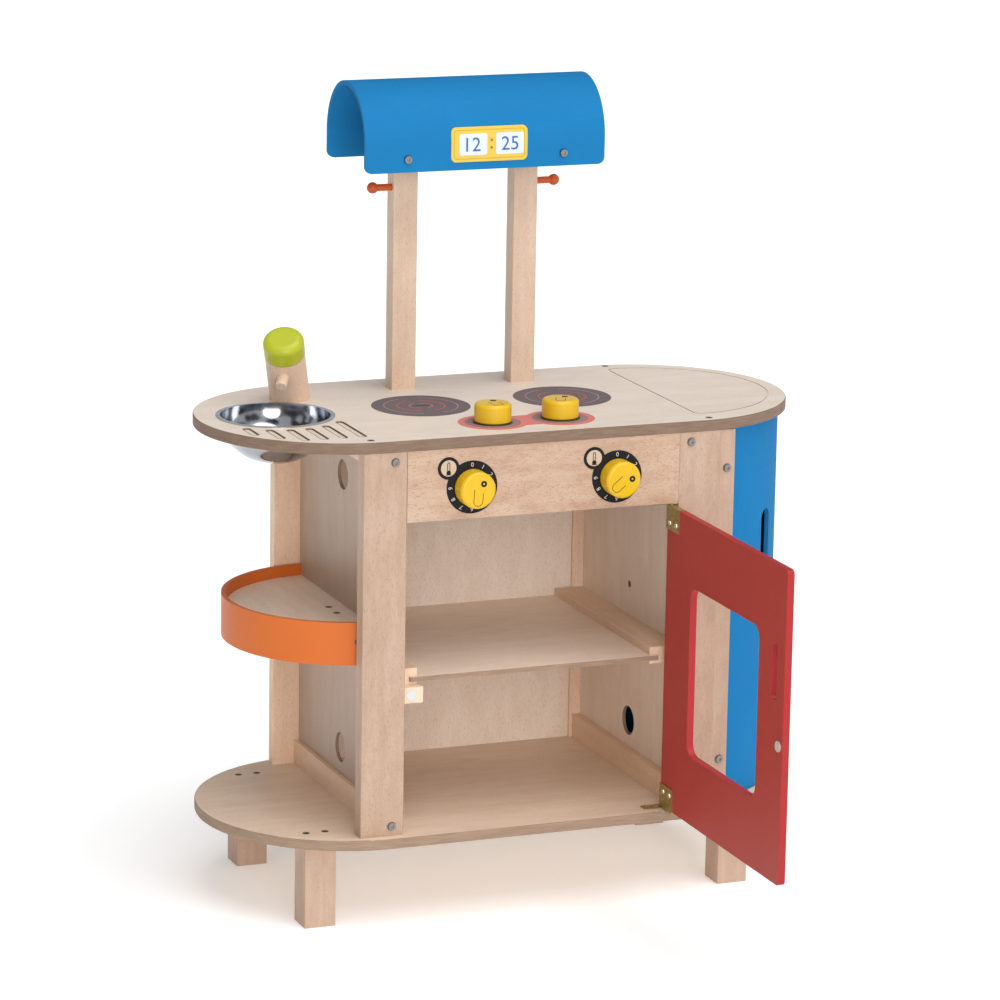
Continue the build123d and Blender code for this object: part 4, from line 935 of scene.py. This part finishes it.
class KITCHEN_OT_dial_figures(bpy.types.Operator):
    """Print plain figures round both oven dials, and a thermometer on their badges"""

    bl_idname = "kitchen.dial_figures"
    bl_label = "Dial figures"

    def execute(self, context):
        sizes, colours = settings(context)
        white = printed("white ink", paint(214, 208, 204))
        cream = printed("cream ink", paint(206, 182, 158))
        dark = printed("badge ink", colours.ink_dark)
        low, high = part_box("dial_prints")
        figure_count = 10
        step = radians(30)
        edge = 3.5 * MM + sizes.badge_radius
        badge_offset = low.x + edge - centre_of(OVEN_KNOBS["left"]).x
        for word, node in OVEN_KNOBS.items():
            middle = centre_of(node)
            face = Vector((middle.x, DIAL_FACE, middle.z))
            marks = []
            for count in range(figure_count):
                angle = step * count
                outward = Vector((sin(angle), 0, cos(angle)))
                across = Vector((cos(angle), 0, -sin(angle)))
                placing = lying(face + sizes.dial_figure_radius * outward, across, FRONT)
                marks.append(placed(figures(str(count), sizes.dial_figure, -sizes.sink, sizes.ink), placing))
            piece(f"dial_figures_{word}", joined(marks, "figures"), white, "root")
            badge = Vector((middle.x + badge_offset, DIAL_FACE, high.z - edge))
            ground = disc(sizes.badge_radius, -sizes.sink, sizes.ink)
            piece(f"badge_{word}", placed(ground, lying(badge, RIGHT, FRONT)), cream, "root")
            piece(f"thermometer_{word}", self.thermometer(badge, sizes.ink), dark, "root")
        return {"FINISHED"}

    def thermometer(self, middle, ink):
        """An upright outlined stem with a round bulb and a foot, drawn over the badge's own ink."""
        stem_length = 11 * MM
        stem_width = 3.4 * MM
        stem_corner = 1.6 * MM
        stem_line = 0.8 * MM
        stem_rise = 1 * MM
        bulb_radius = 2.5 * MM
        bulb_rise = -5 * MM
        foot_length = 6 * MM
        foot_width = 0.9 * MM
        foot_rise = -7.2 * MM
        low = ink / 2
        high = 2 * ink
        stem = rounded_frame(stem_length, stem_width, stem_corner, stem_line, low, high)
        bulb = disc(bulb_radius, low, 2.2 * ink, 32)
        foot = bar(foot_length, foot_width, low, high)
        places = ((stem, stem_rise, UP), (bulb, bulb_rise, RIGHT), (foot, foot_rise, RIGHT))
        parts = [placed(part, lying(middle + rise * UP, across, FRONT)) for part, rise, across in places]
        return joined(parts, "thermometer")


class KITCHEN_OT_knob_marks(bpy.types.Operator):
    """Print the small ring and the long loop of the pointer on each knob's face"""

    bl_idname = "kitchen.knob_marks"
    bl_label = "Knob marks"

    def execute(self, context):
        sizes, colours = settings(context)
        dark = printed("knob ink", colours.ink_dark)
        brown = printed("pointer ink", paint(92, 70, 34))
        turns = {
            "knob_oven_left": radians(-4),
            "knob_oven_right": radians(-50),
            "knob_hob_left": radians(10),
            "knob_hob_right": radians(-20),
        }
        eye_radius = 2.3 * MM
        eye_line = 2.4 * MM
        eye_place = Matrix.Translation((5 * MM, 8 * MM, 0))
        for name, turn in turns.items():
            low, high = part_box(name)
            middle = (low + high) / 2
            if name in HOB_KNOBS.values():
                face = lying(Vector((middle.x, middle.y, high.z)), RIGHT, UP)
            else:
                face = lying(Vector((middle.x, low.y, middle.z)), RIGHT, FRONT)
            placing = face @ Matrix.Rotation(turn, 4, "Z")
            eye = ring(eye_radius, eye_line, -sizes.sink, sizes.ink, steps=32)
            eye = placed(eye, placing @ eye_place)
            piece(name.replace("knob", "eye"), eye, dark, name)
            mark = placed(self.pointer(sizes), placing)
            piece(name.replace("knob", "pointer"), mark, brown, name)
        return {"FINISHED"}

    def pointer(self, sizes):
        """A long open loop: a bend at its lower end and two legs of unlike length."""
        loop_radius = 5.2 * MM
        bend_y = -11.5 * MM
        legs = ((-1, 13 * MM), (1, 9 * MM))
        upright = Matrix.Rotation(pi / 2, 4, "Z")
        bend = ring(loop_radius, sizes.mark_line, -sizes.sink, sizes.ink, HALF_TURN, HALF_TURN, 24)
        parts = [placed(bend, Matrix.Translation((0, bend_y, 0)))]
        for side, length in legs:
            leg = bar(length, sizes.mark_line, -sizes.sink, sizes.ink)
            place = Matrix.Translation((side * loop_radius, bend_y + length / 2, 0))
            parts.append(placed(leg, place @ upright))
        return joined(parts, "pointer")


class KITCHEN_OT_clock(bpy.types.Operator):
    """Print the clock's border, windows, figures and dots, bent to the hood"""

    bl_idname = "kitchen.clock"
    bl_label = "Clock face"

    def execute(self, context):
        sizes, _ = settings(context)
        gold = printed("clock border ink", paint(196, 156, 50))
        white = printed("clock window ink", paint(216, 224, 236), 0.1)
        blue = printed("clock figure ink", paint(70, 108, 168))
        brown = printed("clock dot ink", paint(150, 120, 60))

        def on_hood(bm, offset=0.0):
            """Stand a mark up in front of the plate's plane, then bend it."""
            placing = lying(Vector((CLOCK_MIDDLE.x + offset, 0, CLOCK_MIDDLE.z)), RIGHT, FRONT)
            return bend_to_hood(placed(bm, placing))

        inset = 3.2 * MM
        line = 0.6 * MM
        border_corner = 3.5 * MM
        window_corner = 2.5 * MM
        window_x = {"left": -19.4 * MM, "right": 24.4 * MM}
        texts = {"left": "12", "right": "25"}
        dot_radius = 1.5 * MM
        dot_rise = 4.2 * MM
        width = CLOCK_HIGH.x - CLOCK_LOW.x - 2 * inset
        height = CLOCK_HIGH.z - CLOCK_LOW.z - 2 * inset
        border = rounded_frame(width, height, border_corner, line, -sizes.sink, sizes.ink)
        piece("clock_border", on_hood(border), gold, "root")
        for word, offset in window_x.items():
            size = (sizes.window_width, sizes.window_height)
            window = rounded_plate(*size, window_corner, -sizes.sink, sizes.ink)
            piece(f"clock_window_{word}", on_hood(window, offset), white, "root")
            text = figures(texts[word], sizes.clock_figure, sizes.ink / 2, 2 * sizes.ink)
            piece(f"clock_figures_{word}", on_hood(text, offset), blue, "root")
        dots = []
        for rise in (-dot_rise, dot_rise):
            dot = disc(dot_radius, -sizes.sink, sizes.ink, 24)
            dots.append(placed(dot, Matrix.Translation((0, rise, 0))))
        between = (window_x["left"] + window_x["right"]) / 2
        piece("clock_dots", on_hood(joined(dots, "dots"), between), brown, "root")
        return {"FINISHED"}


class KITCHEN_OT_studio(bpy.types.Operator):
    """Lay a pale floor and set the lights and the camera"""

    bl_idname = "kitchen.studio"
    bl_label = "Studio"

    def execute(self, context):
        self.lay_floor()
        self.hang_lights(context.scene)
        self.place_camera(context.scene)
        return {"FINISHED"}

    def lay_floor(self):
        """A wide pale floor."""
        bm = bmesh.new()
        bmesh.ops.create_grid(bm, x_segments=1, y_segments=1, size=40)
        mesh = bpy.data.meshes.new("studio_floor")
        bm.to_mesh(mesh)
        bm.free()
        floor = bpy.data.objects.new("studio_floor", mesh)
        bpy.context.scene.collection.objects.link(floor)
        material, tree, shader, _, along = start_material("pale floor")
        clouds = spread(tree, noise(tree, times(tree, along, 2.0, 2.0), 2.0, 0.5), 0.2, 0.8)
        tone = blend_colours(tree, clouds, paint(254, 254, 254), paint(252, 252, 252))
        tree.links.new(tone, shader.inputs["Base Color"])
        shader.inputs["Roughness"].default_value = 0.9
        shader.inputs["Specular IOR Level"].default_value = 0.1
        shader.inputs["Emission Color"].default_value = (1, 1, 1, 1)
        shader.inputs["Emission Strength"].default_value = 0.2
        mesh.materials.append(material)

    def hang_lights(self, scene):
        """A soft key from above, a low front light that reaches into the oven, and the studio round them."""
        for name, strength, spread_angle, turn in (
            ("key_light", 2.2, 60, (23, 0, 28)),
            ("front_light", 1.4, 34, (79, 0, -11)),
        ):
            lamp = bpy.data.lights.new(name, "SUN")
            lamp.energy = strength
            lamp.angle = radians(spread_angle)
            stand = bpy.data.objects.new(name, lamp)
            stand.rotation_euler = [radians(value) for value in turn]
            scene.collection.objects.link(stand)
        world = bpy.data.worlds.new("studio")
        world.use_nodes = True
        tree = world.node_tree
        around = add(tree, "ShaderNodeTexCoord").outputs["Generated"]
        screens = spread(tree, noise(tree, times(tree, around, 3.2, 3.2), 0.0, 0.5), 0.47, 0.53)
        walls = blend_colours(tree, screens, (0.06, 0.065, 0.07, 1), (0.94, 0.97, 1.0, 1))
        seen = add(tree, "ShaderNodeLightPath").outputs["Is Camera Ray"]
        background = tree.nodes["Background"].inputs
        tree.links.new(blend_colours(tree, seen, walls, (1.7, 1.7, 1.7, 1)), background["Color"])
        background["Strength"].default_value = 0.58
        scene.world = world
        scene.view_settings.view_transform = "Standard"

    def place_camera(self, scene):
        """Stand the camera where the photograph was taken from."""
        lens = bpy.data.cameras.new("camera")
        lens.sensor_width = SENSOR_WIDTH
        lens.lens = FOCAL_LENGTH
        lens.clip_end = 200
        camera = bpy.data.objects.new("camera", lens)
        yaw = Matrix.Rotation(-CAMERA_YAW, 4, "Z")
        pitch = Matrix.Rotation(pi / 2 + CAMERA_PITCH, 4, "X")
        roll = Matrix.Rotation(CAMERA_ROLL, 4, "Z")
        turn = yaw @ pitch @ roll
        camera.matrix_world = Matrix.Translation(CAMERA_PLACE) @ turn
        scene.collection.objects.link(camera)
        scene.camera = camera


OPERATORS = (
    KITCHEN_OT_solid_wood,
    KITCHEN_OT_boards,
    KITCHEN_OT_lacquers,
    KITCHEN_OT_metals,
    KITCHEN_OT_prints,
    KITCHEN_OT_hob_rings,
    KITCHEN_OT_drain_edges,
    KITCHEN_OT_knob_zone,
    KITCHEN_OT_dial_figures,
    KITCHEN_OT_knob_marks,
    KITCHEN_OT_clock,
    KITCHEN_OT_studio,
)


class KITCHEN_PT_finishes(bpy.types.Panel):
    """Finishes and marks of the play kitchen"""

    bl_idname = "KITCHEN_PT_finishes"
    bl_label = "Play kitchen"
    bl_space_type = "VIEW_3D"
    bl_region_type = "UI"
    bl_category = "Play Kitchen"

    def draw(self, context):
        layout = self.layout
        for group in (context.scene.kitchen_sizes, context.scene.kitchen_colours):
            column = layout.column()
            for name in group.bl_rna.properties.keys():
                if name not in ("rna_type", "name"):
                    column.prop(group, name)
        for operator in OPERATORS:
            layout.operator(operator.bl_idname)


CLASSES = (KitchenSizes, KitchenColours, *OPERATORS, KITCHEN_PT_finishes)


def register():
    """Add the settings, operators and panel."""
    for item in CLASSES:
        bpy.utils.register_class(item)
    bpy.types.Scene.kitchen_sizes = bpy.props.PointerProperty(type=KitchenSizes)
    bpy.types.Scene.kitchen_colours = bpy.props.PointerProperty(type=KitchenColours)


def unregister():
    """Take the settings, operators and panel away."""
    del bpy.types.Scene.kitchen_colours
    del bpy.types.Scene.kitchen_sizes
    for item in reversed(CLASSES):
        bpy.utils.unregister_class(item)


def main():
    """Register the add-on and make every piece."""
    register()
    for operator in OPERATORS:
        group, name = operator.bl_idname.split(".")
        getattr(getattr(bpy.ops, group), name)()


if __name__ == "__main__":
    main()
